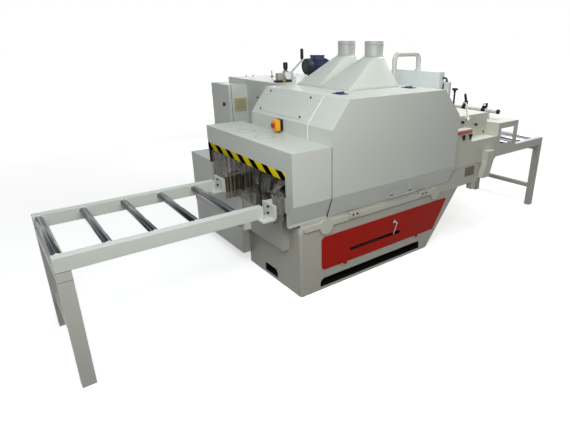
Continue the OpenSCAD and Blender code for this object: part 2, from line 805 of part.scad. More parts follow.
module electrical_door() {
  color(paint) difference() {
    union() {
      box([ebox_x0, edoor_x1], [ebox_y0, cab_y1], [ebox_z0, ebox_z1]);
      for (z = ehinge_z) {
        rod_z(ehinge_x, ehinge_y, ehinge_r, z + ehinge_l + gap, z + 2 * ehinge_l);
        box([ebox_x0 + 6, ehinge_x], [cab_y1 - eps, ehinge_y], [z + ehinge_l + gap, z + 2 * ehinge_l]);
      }
      rod_x(ebox_y0 + 123, ebox_z1 - 206, 14, ebox_x0 - 10, ebox_x0);
      box([ebox_x0 - 20, ebox_x0 - 9], [ebox_y0 + 117, ebox_y0 + 129], [ebox_z1 - 226, ebox_z1 - 186]);
    }
    box([ebox_x0 + sheet, edoor_x1 + eps], [ebox_y0 + sheet, cab_y1 - sheet],
      [ebox_z0 + sheet, ebox_z1 - sheet]);
    for (z = ehinge_z) {
      rod_z(ehinge_x, ehinge_y, ehinge_pin_r + run_fit, z, z + 3 * ehinge_l);
    }
  }
}

// Filter grille on the electrical box
module vent_grille() {
  x = [ebox_x0 + 57, ebox_x0 + 193];
  z = [ebox_z1 - 271, ebox_z1 - 134];
  frame = 12;
  bars = 7;
  pitch = (z[1] - z[0] - 2 * frame) / bars;
  color([0.72, 0.69, 0.58]) difference() {
    box(x, [ebox_y0 - 14, ebox_y0], z);
    for (i = [0:bars - 1]) {
      box([x[0] + frame, x[1] - frame], [ebox_y0 - 15, ebox_y0 - 5],
        [z[0] + frame + i * pitch, z[0] + frame + (i + 0.55) * pitch]);
    }
  }
}

module estop_box() {
  back = 25;
  color(yellow) difference() {
    union() {
      box([hood_x0 - back, hood_x0], [estop_y - estop_w / 2, estop_y + estop_w / 2],
        [estop_z - estop_h / 2, estop_z + estop_h / 2]);
      box([hood_x0 - estop_d, hood_x0 - back + eps], [estop_y - estop_w / 2 + 3, estop_y + estop_w / 2 - 3],
        [estop_z - estop_h / 2 + 3, estop_z + estop_h / 2 - 3]);
    }
    rod_x(estop_y, estop_z, estop_stem_r + run_fit, hood_x0 - estop_d - eps, hood_x0 - back);
  }
}

module estop_button() {
  face = hood_x0 - estop_d;
  color([0.65, 0.08, 0.07]) {
    rod_x(estop_y, estop_z, 23, face - 24, face - 8);
    rod_x(estop_y, estop_z, estop_stem_r, face - 10, face + 30);
  }
}

// One hollow table rail on the +Y side with shaft holes in its inner wall
module table_rail(x0, x1, rollers) {
  difference() {
    box([x0, x1], [rail_in, table_y], [rail_z0, rail_top]);
    box([x0 + tube_t, x1 - tube_t], [rail_in + tube_t, table_y - tube_t],
      [rail_z0 + tube_t, rail_top - tube_t]);
    for (x = rollers) rod_y(x, roller_z, roller_shaft_r + run_fit, rail_in - eps, rail_in + tube_t + eps);
  }
}

module table_rails() {
  color(paint) both_sides() {
    table_rail(infeed_end, infeed_x1, infeed_rollers);
    table_rail(out_x1, outfeed_end, outfeed_rollers);
  }
}

// Leg pair under one table end: two legs, a tie tube over them and a brace between them
module leg_pair(x) {
  tie_z = rail_z0 - leg_tie_h;
  brace = 46;
  both_sides() difference() {
    box([x, x + leg_w], [rail_in, table_y], [0, tie_z]);
    box([x + tube_t, x + leg_w - tube_t], [rail_in + tube_t, table_y - tube_t], [-eps, tie_z - tube_t]);
  }
  box([x, x + leg_w], [-table_y, table_y], [tie_z, rail_z0]);
  translate([x + leg_w / 2, 0, brace_z]) cube([brace, 2 * rail_in, brace], center = true);
}

module table_legs() {
  tie = 50;
  color(paint) {
    leg_pair(infeed_end);
    leg_pair(outfeed_end - leg_w);
    box([infeed_x1 - 150, infeed_x1 - 150 + tie], [-table_y, table_y], [rail_z0 - tie, rail_z0]);
  }
}

// Angle brackets that hang the infeed rails on the arms of the feed bed
module rail_brackets() {
  foot = 40;
  color(paint) both_sides() {
    box([arm_x0 - bracket_t, arm_x0], [arm_y0, bracket_y1], [rail_z0 - bracket_t, rail_top + 15]);
    box([infeed_x1 - foot, arm_x0 - bracket_t], [arm_y0, bracket_y1], [rail_z0 - bracket_t, rail_z0]);
  }
}

module bracket_bolts() {
  head = 8;
  color(dark) both_sides() {
    for (z = [rail_top - 56, rail_top - 8]) {
      rod_x(arm_y1 + 22, z, bolt_r, arm_x0 - bracket_t - head, arm_x0 - bracket_t);
    }
    for (y = [rail_in + 15, table_y - 15]) {
      rod_z(infeed_x1 - 20, y, bolt_r, rail_z0 - bracket_t - head, rail_z0 - bracket_t);
    }
  }
}

module table_roller(x) {
  half = rail_in - roller_side_gap;
  color(steel) {
    rod_y(x, roller_z, roller_r, -half, half);
    rod_y(x, roller_z, roller_shaft_r, -rail_in - shaft_in, rail_in + shaft_in);
  }
}

module outfeed_bed() {
  section = [[-out_y, out_sill], [out_y, out_sill], [out_y, shelf_out_z], [out_half, shelf_out_z],
    [out_half, channel_z], [-out_half, channel_z], [-out_half, shelf_out_z], [-out_y, shelf_out_z]];
  // Strut on the side wall: upright at the top, bent back towards the infeed below
  post_x = [out_x1 - 241, out_x1 - 121];
  post_z = [rail_top - 262, rail_top - 82, rail_top + 16];
  post_back = 54;
  post_shape = [[post_x[0] - post_back, post_z[0]], [post_x[1] - post_back, post_z[0]],
    [post_x[1], post_z[1]], [post_x[1], post_z[2]], [post_x[0], post_z[2]], [post_x[0], post_z[1]]];
  color(paint) {
    difference() {
      along_x(out_x0, out_x1) polygon(section);
      along_x(out_x0 - eps, out_x1 + eps) polygon(inset(section, out_wall));
    }
    box([out_x0, panel_box[0]], [-out_y, -out_y + panel_box[1]], [shelf_out_z, shelf_out_z + panel_box[2]]);
    for (x = knob_x) rod_y(x, knob_z, knob_pin_r, -out_y - 12, -out_y);
    along_y(-out_y - 60, -out_y) polygon(post_shape);
  }
}

// Selector knob with its pointer bar
module selector_knob(i) {
  face = -out_y - 0.3;
  color(dark) difference() {
    union() {
      rod_y(knob_x[i - 1], knob_z, 19, face - 16, face);
      box([knob_x[i - 1] - 6, knob_x[i - 1] + 6], [face - 30, face - 15], [knob_z - 34, knob_z + 18]);
    }
    rod_y(knob_x[i - 1], knob_z, knob_pin_r + run_fit, face - 13, face + eps);
  }
}

module outfeed_cover() {
  wall_y = out_half + 8;
  section = [[-wall_y, shelf_out_z], [-wall_y, cover_z], [wall_y, cover_z], [wall_y, shelf_out_z]];
  color(paint) {
    difference() {
      along_x(out_x0, out_x1) polygon(band(section, sheet));
      rod_z(star_x, 0, star_r + run_fit, cover_z - 2 * sheet, cover_z + eps);
    }
    difference() {
      rod_z(star_x, 0, 24, cover_z, cover_z + 30);
      rod_z(star_x, 0, star_r + run_fit, cover_z - eps, cover_z + 31);
    }
    rod_y(lever_x, lever_z, 24, -wall_y - 12, -wall_y);
    rod_y(lever_x, lever_z, lever_pin_r, -wall_y - 34, -wall_y - 11);
  }
}

// Lock lever on the cover's side: hub, leaning chrome bar and black grip
module lock_lever() {
  y = -out_half - 8 - 12.3;
  lean = -19;
  reach = 268;
  grip = 92;
  color(bright) difference() {
    union() {
      rod_y(lever_x, lever_z, 22, y - 20, y);
      translate([lever_x, y - 10, lever_z]) rotate([0, lean, 0]) {
        cylinder(r = 8, h = reach);
        translate([0, 0, reach - grip]) cylinder(r = 13, h = grip);
      }
    }
    rod_y(lever_x, lever_z, lever_pin_r + run_fit, y - 21, y + 1);
  }
}

module star_knob() {
  top = cover_z + 245;
  color(dark) {
    rod_z(star_x, 0, star_r, cover_z - 12, top);
    rod_z(star_x, 0, 17, cover_z + 30.4, cover_z + 46);
    rod_z(star_x, 0, 22, top - 22, top);
    for (a = [0:72:288]) rotate_about(star_x, 0, a) rod_z(star_x + 26, 0, 11, top - 20, top - 2);
  }
}

module rotate_about(x, y, a) {
  translate([x, y, 0]) rotate([0, 0, a]) translate([-x, -y, 0]) children();
}

module outfeed_guard() {
  frame = 45;
  skirt = 62;
  color(paint) {
    both_sides() difference() {
      box([guard_x0, guard_x1], [out_y - sheet, out_y], [rail_top, guard_z - sheet]);
      box([guard_x0 + frame, guard_x1 - frame], [out_y - 2 * sheet, out_y + eps],
        [rail_top + frame, guard_z - skirt]);
    }
    box([guard_x0, guard_x1], [-out_y, out_y], [guard_z - sheet, guard_z]);
    both_sides() box([out_x1, guard_x0], [out_half + 8, out_y], [shelf_out_z, guard_z]);
  }
}

module guide_bar() {
  color(bright) {
    rod_y(bar_x, bar_z, bar_r, bar_y[0], bar_y[1]);
    for (y = post_y) rod_z(bar_x, y, 14, guard_z, bar_z);
  }
}

// Clamp that slides along the cross bar, with its locking knob
module bar_clamp(i) {
  y = clamp_y[i - 1];
  color(dark) difference() {
    union() {
      box([bar_x - bar_r - 12, bar_x + bar_r + 12], [y - clamp_w / 2, y + clamp_w / 2],
        [bar_z - bar_r - 12, bar_z + bar_r + 12]);
      rod_z(bar_x, y, 9, bar_z + bar_r, bar_z + bar_r + 36);
      rod_z(bar_x, y, 17, bar_z + bar_r + 34, bar_z + bar_r + 56);
    }
    rod_y(bar_x, bar_z, bar_r + run_fit, y - clamp_w, y + clamp_w);
  }
}

module pendant_arm() {
  flange = 20;
  color(paint) {
    rod_z(pend_riser_x, pend_y, arm_r + flange, hood_z, hood_z + 12);
    rod_z(pend_riser_x, pend_y, arm_r, hood_z, pend_top - arm_bend);
    rod_x(pend_y, pend_top, arm_r, pend_riser_x + arm_bend, pend_x - arm_bend);
    rod_z(pend_x, pend_y, arm_r, pend_box_top - pend_socket, pend_top - arm_bend);
    for (s = [[pend_riser_x + arm_bend, 90], [pend_x - arm_bend, 0]]) {
      translate([s[0], pend_y, pend_top - arm_bend]) rotate([90, 0, 0]) rotate([0, 0, s[1]])
        rotate_extrude(angle = 90) translate([arm_bend, 0]) circle(arm_r);
    }
  }
}

module pendant_box() {
  color(paint) difference() {
    box([pend_x - pend_d / 2, pend_x + pend_d / 2], [pend_y - pendant_w / 2, pend_y + pendant_w / 2],
      [pend_box_top - pendant_h, pend_box_top]);
    rod_z(pend_x, pend_y, arm_r + run_fit, pend_box_top - pend_socket - 0.3, pend_box_top + eps);
    box([pend_x - pend_d / 2 + sheet, pend_x + pend_d / 2 - sheet],
      [pend_y - pendant_w / 2 + sheet, pend_y + pendant_w / 2 - sheet],
      [pend_box_top - pendant_h - eps, pend_box_top - pend_socket - 3 * sheet]);
  }
}

// Air filter and regulator on the cabinet: foot plate, body, bowl, gauge and knob
module air_regulator() {
  x = cab_x0 + 137;
  y = hood_far + 279;
  color(steel) {
    box([x - 85, x + 85], [y - 40, y + 40], [hood_z, hood_z + 18]);
    box([x - 70, x + 70], [y - 28, y + 28], [hood_z + 18, hood_z + 105]);
    rod_z(x + 35, y, 24, hood_z + 105, hood_z + 190);
    rod_y(x + 35, hood_z + 66, 42, y - 52, y - 28);
    rod_x(y, hood_z + 62, 14, x - 105, x - 70);
  }
}

module crank() {
  z0 = hood_z + crank_base_h + 0.3;
  arm_out = 114;
  arm_up = 122;
  hub_h = 45;
  lean = atan2(arm_out, arm_up);
  turn = -39;
  color(bright) rotate_about(crank_x, crank_y, turn) {
    difference() {
      rod_z(crank_x, crank_y, crank_hub_r, z0, z0 + hub_h);
      rod_z(crank_x, crank_y, crank_pin_r + run_fit, z0 - eps, z0 + 40);
    }
    intersection() {
      translate([crank_x, crank_y, z0 + hub_h - 6]) rotate([0, lean, 0])
        translate([0, 0, -20]) cylinder(r = 11, h = norm([arm_out, arm_up]) + 20);
      rod_z(crank_x, crank_y, 400, z0 + hub_h - 3, z0 + 400);
    }
    rod_z(crank_x + arm_out, crank_y, 17, z0 + hub_h - 6 + arm_up, z0 + hub_h + arm_up + 110);
  }
}

// Lift motor lying along X on the cabinet, fan cover towards the infeed
module lift_motor() {
  x = [cab_x0 + 748, cab_x0 + 1078];
  y = hood_far + 753;
  r = 90;
  z = hood_z + r + 20;
  color(navy) {
    rod_x(y, z, r, x[0], x[1]);
    box([x[0] + 90, x[1] - 60], [y - 85, y + 85], [hood_z, hood_z + 45]);
    box([x[0] + 110, x[0] + 240], [y - 55, y + 55], [z + r - 30, z + r + 35]);
  }
}

module bearing_pedestals() {
  half = 50;
  arbor_half = 100;
  color(steel) {
    for (x = press_x) difference() {
      box([x - half, x + half], pedestal_y, [shelf_z, press_z + half]);
      rod_y(x, press_z, press_shaft_r + run_fit, pedestal_y[0] - eps, pedestal_y[1] + eps);
    }
    difference() {
      union() {
        box([arbor_x - arbor_half, arbor_x + arbor_half], pedestal_y, [shelf_z, arbor_z]);
        rod_y(arbor_x, arbor_z, arbor_half, pedestal_y[0], pedestal_y[1]);
      }
      rod_y(arbor_x, arbor_z, arbor_r + run_fit, pedestal_y[0] - eps, pedestal_y[1] + eps);
    }
  }
}

function blade_y(i) = (i - (blade_n - 1) / 2) * blade_pitch;

module saw_arbor() {
  span = blade_y(blade_n - 1) + 15;
  slot = blade_t / 2 + run_fit;
  pulley_r = arbor_pulley_d / 2;
  color(bright) {
    rod_y(arbor_x, arbor_z, arbor_r, arbor_y0, pulley_y[1]);
    difference() {
      rod_y(arbor_x, arbor_z, collar_r, -span, span);
      for (i = [0:blade_n - 1]) difference() {
        rod_y(arbor_x, arbor_z, collar_r + eps, blade_y(i) - slot, blade_y(i) + slot);
        rod_y(arbor_x, arbor_z, arbor_r, -span, span);
      }
    }
    rod_y(arbor_x, arbor_z, pulley_r, pulley_y[0], pulley_y[1]);
    for (y = [pulley_y[0], pulley_y[1] - flange_t]) rod_y(arbor_x, arbor_z, pulley_r + 8, y, y + flange_t);
  }
}

// Blade outline: disc with gullets cut between its teeth
module blade_shape() {
  teeth = 28;
  gullet = 14;
  difference() {
    circle(blade_d / 2);
    for (i = [0:teeth - 1]) {
      rotate(i * 360 / teeth) translate([blade_d / 2 + 2, 0]) circle(gullet / 2, $fn = 16);
    }
    circle(arbor_r + run_fit);
  }
}

module saw_blades() {
  color(bright) for (i = [0:blade_n - 1]) {
    translate([arbor_x, blade_y(i), arbor_z]) along_y(-blade_t / 2, blade_t / 2) blade_shape();
  }
}

module pressure_roller(i) {
  color(steel) {
    rod_y(press_x[i - 1], press_z, press_r, -200, 220);
    rod_y(press_x[i - 1], press_z, press_shaft_r, -200, pedestal_y[1]);
  }
}

module main_motor() {
  foot_w = 90;
  plate_half = 200;
  color(navy) {
    difference() {
      union() {
        rod_y(arbor_x, motor_z, motor_d / 2, motor_y[0], motor_y[1]);
        box([arbor_x - foot_w, arbor_x + foot_w], motor_y, [motor_plate_z + motor_plate_t, motor_z]);
        box([arbor_x + 60, arbor_x + motor_d / 2 + 40], [motor_y[0] + 150, motor_y[0] + 330],
          [motor_z - 70, motor_z + 90]);
      }
      rod_y(arbor_x, motor_z, motor_shaft_r + run_fit, motor_y[0] - eps, motor_y[0] + 65);
    }
    box([arbor_x - plate_half, arbor_x + plate_half], [side_y + sheet, cab_y1 - sheet],
      [motor_plate_z, motor_plate_z + motor_plate_t]);
  }
}

module motor_pulley() {
  r = motor_pulley_d / 2;
  color(steel) {
    rod_y(arbor_x, motor_z, r, pulley_y[0], pulley_y[1]);
    for (y = [pulley_y[0], pulley_y[1] - flange_t]) rod_y(arbor_x, motor_z, r + 8, y, y + flange_t);
    rod_y(arbor_x, motor_z, motor_shaft_r, pulley_y[1], motor_y[0] + 60);
  }
}

// Outline round both pulleys, d outside their faces
module belt_loop(d) {
  a = arbor_pulley_d / 2 + d;
  b = motor_pulley_d / 2 + d;
  span = arbor_z - motor_z;
  tilt = asin((b - a) / span);
  n = [cos(tilt), sin(tilt)];
  m = [-cos(tilt), sin(tilt)];
  top = [arbor_x, arbor_z];
  low = [arbor_x, motor_z];
  translate(top) circle(a);
  translate(low) circle(b);
  polygon([top + a * n, top + a * m, low + b * m, low + b * n]);
}

module drive_belts() {
  pitch = (pulley_y[1] - pulley_y[0] - 2 * flange_t) / belt_n;
  color(dark) for (i = [0:belt_n - 1]) {
    y = pulley_y[0] + flange_t + (i + 0.5) * pitch;
    along_y(y - belt_w / 2, y + belt_w / 2) difference() {
      belt_loop(0.3 + belt_t);
      belt_loop(0.3);
    }
  }
}

base_frame();
bed_casting();
cover_panel();
panel_latch();
feed_rails();
feed_chain();
for (i = [1:2]) feed_drum(i);
infeed_hood();
strip_curtain();
main_hood();
access_plate();
hood_door();
door_handle();
door_leaves();
hinge_leaves();
dust_chutes();
drive_cabinet();
side_cabinet();
electrical_box();
electrical_door();
vent_grille();
estop_box();
estop_button();
table_rails();
table_legs();
rail_brackets();
bracket_bolts();
for (i = [1:infeed_roller_n]) {
  table_roller(infeed_rollers[i - 1]);
}
for (i = [1:outfeed_roller_n]) {
  table_roller(outfeed_rollers[i - 1]);
}
outfeed_bed();
outfeed_cover();
outfeed_guard();
guide_bar();
for (i = [1:2]) bar_clamp(i);
lock_lever();
star_knob();
for (i = [1:2]) selector_knob(i);
pendant_arm();
pendant_box();
air_regulator();
crank();
lift_motor();
bearing_pedestals();
saw_arbor();
saw_blades();
for (i = [1:2]) pressure_roller(i);
main_motor();
motor_pulley();
drive_belts();
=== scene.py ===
import math

import bmesh
import bpy
import numpy as np
from mathutils import Matrix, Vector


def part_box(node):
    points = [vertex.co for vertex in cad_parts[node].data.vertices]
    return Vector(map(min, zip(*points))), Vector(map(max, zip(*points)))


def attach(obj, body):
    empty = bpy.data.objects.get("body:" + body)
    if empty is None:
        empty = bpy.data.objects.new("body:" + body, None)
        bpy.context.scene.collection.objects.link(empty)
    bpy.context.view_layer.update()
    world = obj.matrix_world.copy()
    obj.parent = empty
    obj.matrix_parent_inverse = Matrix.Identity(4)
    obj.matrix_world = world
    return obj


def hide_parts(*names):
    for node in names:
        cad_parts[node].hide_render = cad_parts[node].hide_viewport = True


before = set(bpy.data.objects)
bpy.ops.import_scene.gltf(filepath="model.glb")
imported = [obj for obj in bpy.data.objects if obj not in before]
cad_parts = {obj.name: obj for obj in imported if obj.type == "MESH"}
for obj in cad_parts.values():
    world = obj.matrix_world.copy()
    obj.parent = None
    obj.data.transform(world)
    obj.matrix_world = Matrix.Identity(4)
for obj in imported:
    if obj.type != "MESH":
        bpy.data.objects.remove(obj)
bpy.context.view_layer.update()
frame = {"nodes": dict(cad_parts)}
nodes = frame["nodes"]


# Base and bed: a welded box of thick plate with a cast bed bolted on top of it.
# Both are filled, rubbed down and sprayed with one light grey machine paint; here its tones also carry
# painted shade, darker and warmer low down and near black in the fork openings and under the hood.
class Signal:
    """A shader value that takes part in Python sums: each operator adds one Math node."""

    def __init__(self, nodes, socket):
        self.nodes = nodes
        self.socket = socket

    def math(self, operation, first, second):
        """One Math node that works on two values."""
        return self.nodes.node("Math", {"operation": operation}, {0: first, 1: second})

    def __add__(self, other):
        return self.math("ADD", self, other)

    def __radd__(self, other):
        return self.math("ADD", other, self)

    def __sub__(self, other):
        return self.math("SUBTRACT", self, other)

    def __rsub__(self, other):
        return self.math("SUBTRACT", other, self)

    def __mul__(self, other):
        return self.math("MULTIPLY", self, other)

    def __rmul__(self, other):
        return self.math("MULTIPLY", other, self)

    def __truediv__(self, other):
        return self.math("DIVIDE", self, other)

    def __gt__(self, other):
        return self.math("GREATER_THAN", self, other)

    def __lt__(self, other):
        return self.math("LESS_THAN", self, other)

    def part(self):
        """What is left of the value after its whole steps."""
        return self.math("FRACT", self, 0.0)

    def clear(self):
        """The value held between 0 and 1."""
        return self.nodes.node("Clamp", {}, {0: self})

    def within(self, low, high):
        """1 where the value lies between low and high, 0 elsewhere."""
        return (self > low) * (self < high)


class NodeBoard:
    """The nodes of one material or of the sky, added by plain calls."""

    def __init__(self, tree):
        self.tree = tree

    def node(self, kind, settings, inputs, out=0):
        """Adds any node: its settings first, then the values or links of its sockets."""
        node = self.tree.nodes.new("ShaderNode" + kind)
        for key, value in settings.items():
            setattr(node, key, value)
        for key, value in inputs.items():
            self.feed(node.inputs[key], value)
        return Signal(self, node.outputs[out])

    def feed(self, socket, value):
        """Links a signal to a socket, or sets a plain number or colour there."""
        if isinstance(value, Signal):
            self.tree.links.new(value.socket, socket)
        else:
            socket.default_value = value

    def blend(self, factor, first, second):
        """Mixes two colours: the first where the factor is 0, the second where it is 1."""
        return self.node("Mix", {"data_type": "RGBA"}, {0: factor, 6: first, 7: second}, 2)


class Finish(NodeBoard):
    """One finish of the machine: a material, and a slot name kept with it."""

    def __init__(self, name, roughness=0.4, metallic=0.0, constants=None, slot=None):
        self.slot = slot or name
        self.material = bpy.data.materials.new(name)
        self.material.use_nodes = True
        super().__init__(self.material.node_tree)
        self.shader = self.tree.nodes["Principled BSDF"]
        self.place = self.node("TexCoord", {}, {}, "Object")
        for socket, value in {"Metallic": metallic, "Roughness": roughness, **(constants or {})}.items():
            self.drive(socket, value)

    def drive(self, socket, value):
        """Feeds one socket of the finish's own shader."""
        self.feed(self.shader.inputs[socket], value)

    def noise(self, scale, detail=2.0, stretch=(1.0, 1.0, 1.0)):
        """Clouds between 0 and 1: noise at the object's place times stretch and scale."""
        spot = self.node("Mapping", {}, {"Vector": self.place, "Scale": stretch})
        return self.node("TexNoise", {}, {"Vector": spot, "Scale": scale, "Detail": detail})

    def axis(self, name):
        """One coordinate of the place in metres."""
        return self.node("SeparateXYZ", {}, {0: self.place}, name)

    def relief(self, height, depth, under=None):
        """Bumps the surface by depth times a height, over the normal that lies under it."""
        inputs = {"Height": height, "Distance": depth, "Strength": 1.0}
        if under is not None:
            inputs["Normal"] = under
        self.drive("Normal", self.node("Bump", {}, inputs))

    def soft_edge(self, radius):
        """Normal rounded over edges of that radius, and a mask that is 1 on the edge itself."""
        rounded = self.node("Bevel", {"samples": 6}, {"Radius": radius})
        flat = self.node("NewGeometry", {}, {}, "Normal")
        along = self.node("VectorMath", {"operation": "DOT_PRODUCT"}, {0: rounded, 1: flat}, "Value")
        return rounded, ((1.0 - along) * 3.0).clear()


def srgb(red, green, blue):
    """Linear colour of an sRGB one in steps of 255: a straight line near black, then a power of 2.4."""
    c = np.array([red, green, blue]) / 255.0
    linear = np.where(c <= 0.04045, c / 12.92, ((c + 0.055) / 1.055) ** 2.4)
    return (*linear.tolist(), 1.0)


def painted(name, colour, shade, rub, gloss=0.36, edge=0.004, peel=0.00012, slot=None):
    """Sprayed paint: slow clouds between two tones, dust specks, orange peel, rubbed edges."""
    finish = Finish(name, slot=slot)
    colour, shade, rub = (srgb(*tone) for tone in (colour, shade, rub))
    rounded, rim = finish.soft_edge(edge)
    clouds = finish.noise(1.3, 4.0)
    dust = finish.noise(38.0, 5.0)
    tone = finish.blend((clouds * 1.6 - 0.3).clear(), shade, colour)
    worn = rim * ((dust - 0.40) * 3.0).clear()
    finish.coat = finish.blend(worn * 0.55, tone, rub)
    finish.drive("Base Color", finish.coat)
    finish.drive("Roughness", gloss - 0.06 + dust * 0.14 + worn * 0.15)
    finish.relief(finish.noise(420.0, 2.0), peel, rounded)
    return finish


def lay_shade_and_dark(finish, mask, colour):
    """Lays one dark colour over the paint where the mask is 1: painted shade in hollows and under the hoods,
    and the own dark colour of bolts.
    """
    finish.drive("Base Color", finish.blend(mask.clear(), finish.coat, colour))


def dress(finish, *names):
    """Puts a finish on the CAD nodes that keep their own shape."""
    for name in names:
        for held in nodes[name].material_slots:
            held.material = finish.material


SHEET_GREY = ((206, 210, 203), (199, 203, 195), (222, 223, 216))
machine_paint = painted("machine_paint", *SHEET_GREY)
# The bed's tones are a little darker and warmer than the sheet grey: painted shade for the bed under the
# hood's hem.
bed_paint = painted("bed_paint", (199, 198, 187), (189, 188, 176), (204, 203, 193), 0.42, 0.003, 0.0002)
# Dark brown laid on as painted shade inside the hoods, on the rails there and on the bed's top under them; on
# the bed it also gives the bolts their own dark colour.
SHADE_AND_BOLT_DARK = srgb(44, 41, 34)
bed_y = bed_paint.axis("Y")
bed_top_in_shade = (bed_paint.axis("Z") > 0.600) * bed_y.within(-0.405, 0.405) * (bed_paint.axis("X") < 0.990)
lay_shade_and_dark(bed_paint, bed_top_in_shade + (bed_y < -0.4443), SHADE_AND_BOLT_DARK)
dress(bed_paint, "bed_casting")
rail_paint = painted("rail_paint", (203, 206, 198), (194, 197, 188), (218, 218, 210), 0.42, 0.004, 0.0003)
# The far arm behind the strip curtain and the rail ends inside the hood's mouth get the dark brown: painted
# shade inside the hood.
far_arm_in_shade = (rail_paint.axis("Y") > 0.0) * (rail_paint.axis("X") > -0.980)
lay_shade_and_dark(rail_paint, far_arm_in_shade + (rail_paint.axis("X") > -0.842), SHADE_AND_BOLT_DARK)
dress(rail_paint, "feed_rails")
# The base gets darker, warmer tones than the sheet grey: painted shade for the base under the infeed table
# and the hood.
base_shaded_paint = painted(
    "base_shaded_paint", (177, 176, 166), (168, 167, 156), (192, 191, 182), 0.38, 0.005,
    slot="machine_paint")
base_x = base_shaded_paint.axis("X")
base_y = base_shaded_paint.axis("Y")
fork_level = base_shaded_paint.axis("Z").within(0.024, 0.103)
side_slot = base_x.within(-0.558, 0.645) * (base_y > -0.4095)
end_pocket = base_x.within(-0.7495, -0.550) * base_y.within(-0.062, 0.140)
# Inside the fork slots and the end pocket the paint turns near black: painted shade in these recesses.
fork_painted_shade = (side_slot + end_pocket).clear() * fork_level
lay_shade_and_dark(base_shaded_paint, fork_painted_shade, srgb(20, 19, 18))
dress(base_shaded_paint, "base_frame")


# Clean-out panel: a laser-cut steel sheet in red enamel, hung on two pin hinges.
# A pressed lever latch with a turned hub holds its upper edge shut.
def skin(rings, cap=True):
    """Skin over closed rings: rings[k, j] is point j of ring k. Quads join neighbours, and a
    flat face closes the first and the last ring. Gives the points and blocks of like faces."""
    count, around = rings.shape[:2]
    k, j = np.meshgrid(np.arange(count - 1), np.arange(around), indexing="ij")
    a = k * around + j
    b = k * around + (j + 1) % around
    blocks = [np.stack([a, b, b + around, a + around], -1).reshape(-1, 4)]
    if cap:
        last = np.arange((count - 1) * around, count * around)
        blocks.append(np.stack([np.arange(around)[::-1], last]))
    return rings.reshape(-1, 3), blocks


def mm(*pairs):
    """Profile points given in millimetres, turned into metres."""
    return np.array(pairs) / 1000.0


def mirrored(half):
    """Profile with two equal ends: one half, then the same half upside down."""
    return [*half, *[(r, -h) for r, h in half[::-1]]]


def unit(vectors):
    """The same directions with length 1."""
    vectors = np.array(vectors, float)
    return vectors / np.linalg.norm(vectors, axis=-1, keepdims=True)


def full_turn(count):
    """Equal angles once round."""
    return np.linspace(0.0, 2.0 * np.pi, count, endpoint=False)


def spokes(angles):
    """Points of a circle of radius 1 at the given angles."""
    return np.stack([np.cos(angles), np.sin(angles)], -1)


def turned(profile, centre, axis, around=40):
    """Turned piece: a profile of (radius, height) pairs spun round an axis. Each point is the
    centre, plus its height along the axis, plus its radius along a spoke square to the axis."""
    axis = unit(axis)
    u = unit(np.cross(axis, [0.0, 0.0, 1.0] if abs(axis[2]) < 0.9 else [1.0, 0.0, 0.0]))
    radius, height = np.array(profile, float).T
    spin = spokes(full_turn(around)) @ np.stack([u, np.cross(axis, u)])
    radius = np.maximum(radius, 1e-5)[:, None, None]
    return skin(np.array(centre, float) + height[:, None, None] * axis + radius * spin)


def slab(low, high, radius, axis=2, steps=4):
    """Block with rounded edges: rounded rectangles stacked along one axis. Towards both ends they
    draw in along a quarter circle, by radius less its sine at a height of radius less its cosine."""
    order = [(axis + 1) % 3, (axis + 2) % 3, axis]
    low = np.array(low, float)[order]
    high = np.array(high, float)[order]
    radius = min(radius, 0.499 * (high - low).min())
    t = np.linspace(0.0, np.pi / 2.0, steps + 1)
    rise = radius * (1.0 - np.cos(t))
    height = np.concatenate([low[2] + rise, high[2] - rise[::-1]])
    reach = np.maximum(radius * np.sin(t), 1e-5)
    reach = np.concatenate([reach, reach[::-1]])
    quarter = np.arange(4)[:, None] * np.pi / 2.0
    a = quarter + np.linspace(0.0, np.pi / 2.0, steps + 1)
    side = np.sign(spokes(quarter + np.pi / 4.0))
    corner = (low[:2] + high[:2]) / 2.0 + side * ((high[:2] - low[:2]) / 2.0 - radius)
    corner = np.broadcast_to(corner, (4, steps + 1, 2)).reshape(-1, 2)
    flat = corner[None] + reach[:, None, None] * spokes(a).reshape(-1, 2)[None]
    rise = np.broadcast_to(height[:, None, None], flat.shape[:2] + (1,))
    points = np.concatenate([flat, rise], -1)
    return skin(points[..., np.argsort(order)])


def tube(path, radius, side, around=20):
    """Round bar along a path in a plane that is square to side. A ring point is the path's point, plus
    radius times cosine along side, plus radius times sine square to both side and path."""
    path = np.array(path, float)
    side = unit(side)
    other = np.cross(unit(np.gradient(path, axis=0)), side)
    a = full_turn(around)
    radius = np.broadcast_to(radius, len(path))[:, None, None]
    spin = np.cos(a)[None, :, None] * side + np.sin(a)[None, :, None] * other[:, None]
    return skin(path[:, None] + radius * spin)


def placed(name, data):
    """Puts a mesh, lamp or camera into the scene."""
    held = bpy.data.objects.new(name, data)
    bpy.context.scene.collection.objects.link(held)
    return held


def piece(name, body, finish, shells, replaces=(), smooth=40.0):
    """Joins shells into one mesh at the origin, turns its faces outwards, dresses it in a
    finish and lets it ride on a body."""
    points = np.concatenate([shell[0] for shell in shells])
    starts = np.cumsum([0] + [len(shell[0]) for shell in shells])
    blocks = [block + start for shell, start in zip(shells, starts) for block in shell[1]]
    mesh = bpy.data.meshes.new(name)
    mesh.from_pydata(points.tolist(), [], [face for block in blocks for face in block.tolist()])
    work = bmesh.new()
    work.from_mesh(mesh)
    bmesh.ops.remove_doubles(work, verts=work.verts, dist=2e-6)
    bmesh.ops.recalc_face_normals(work, faces=work.faces)
    work.to_mesh(mesh)
    work.free()
    mesh.shade_smooth()
    mesh.set_sharp_from_angle(angle=math.radians(smooth))
    mesh.materials.append(finish.material)
    made = placed(name, mesh)
    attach(made, body)
    if replaces:
        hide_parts(*replaces)
    return made


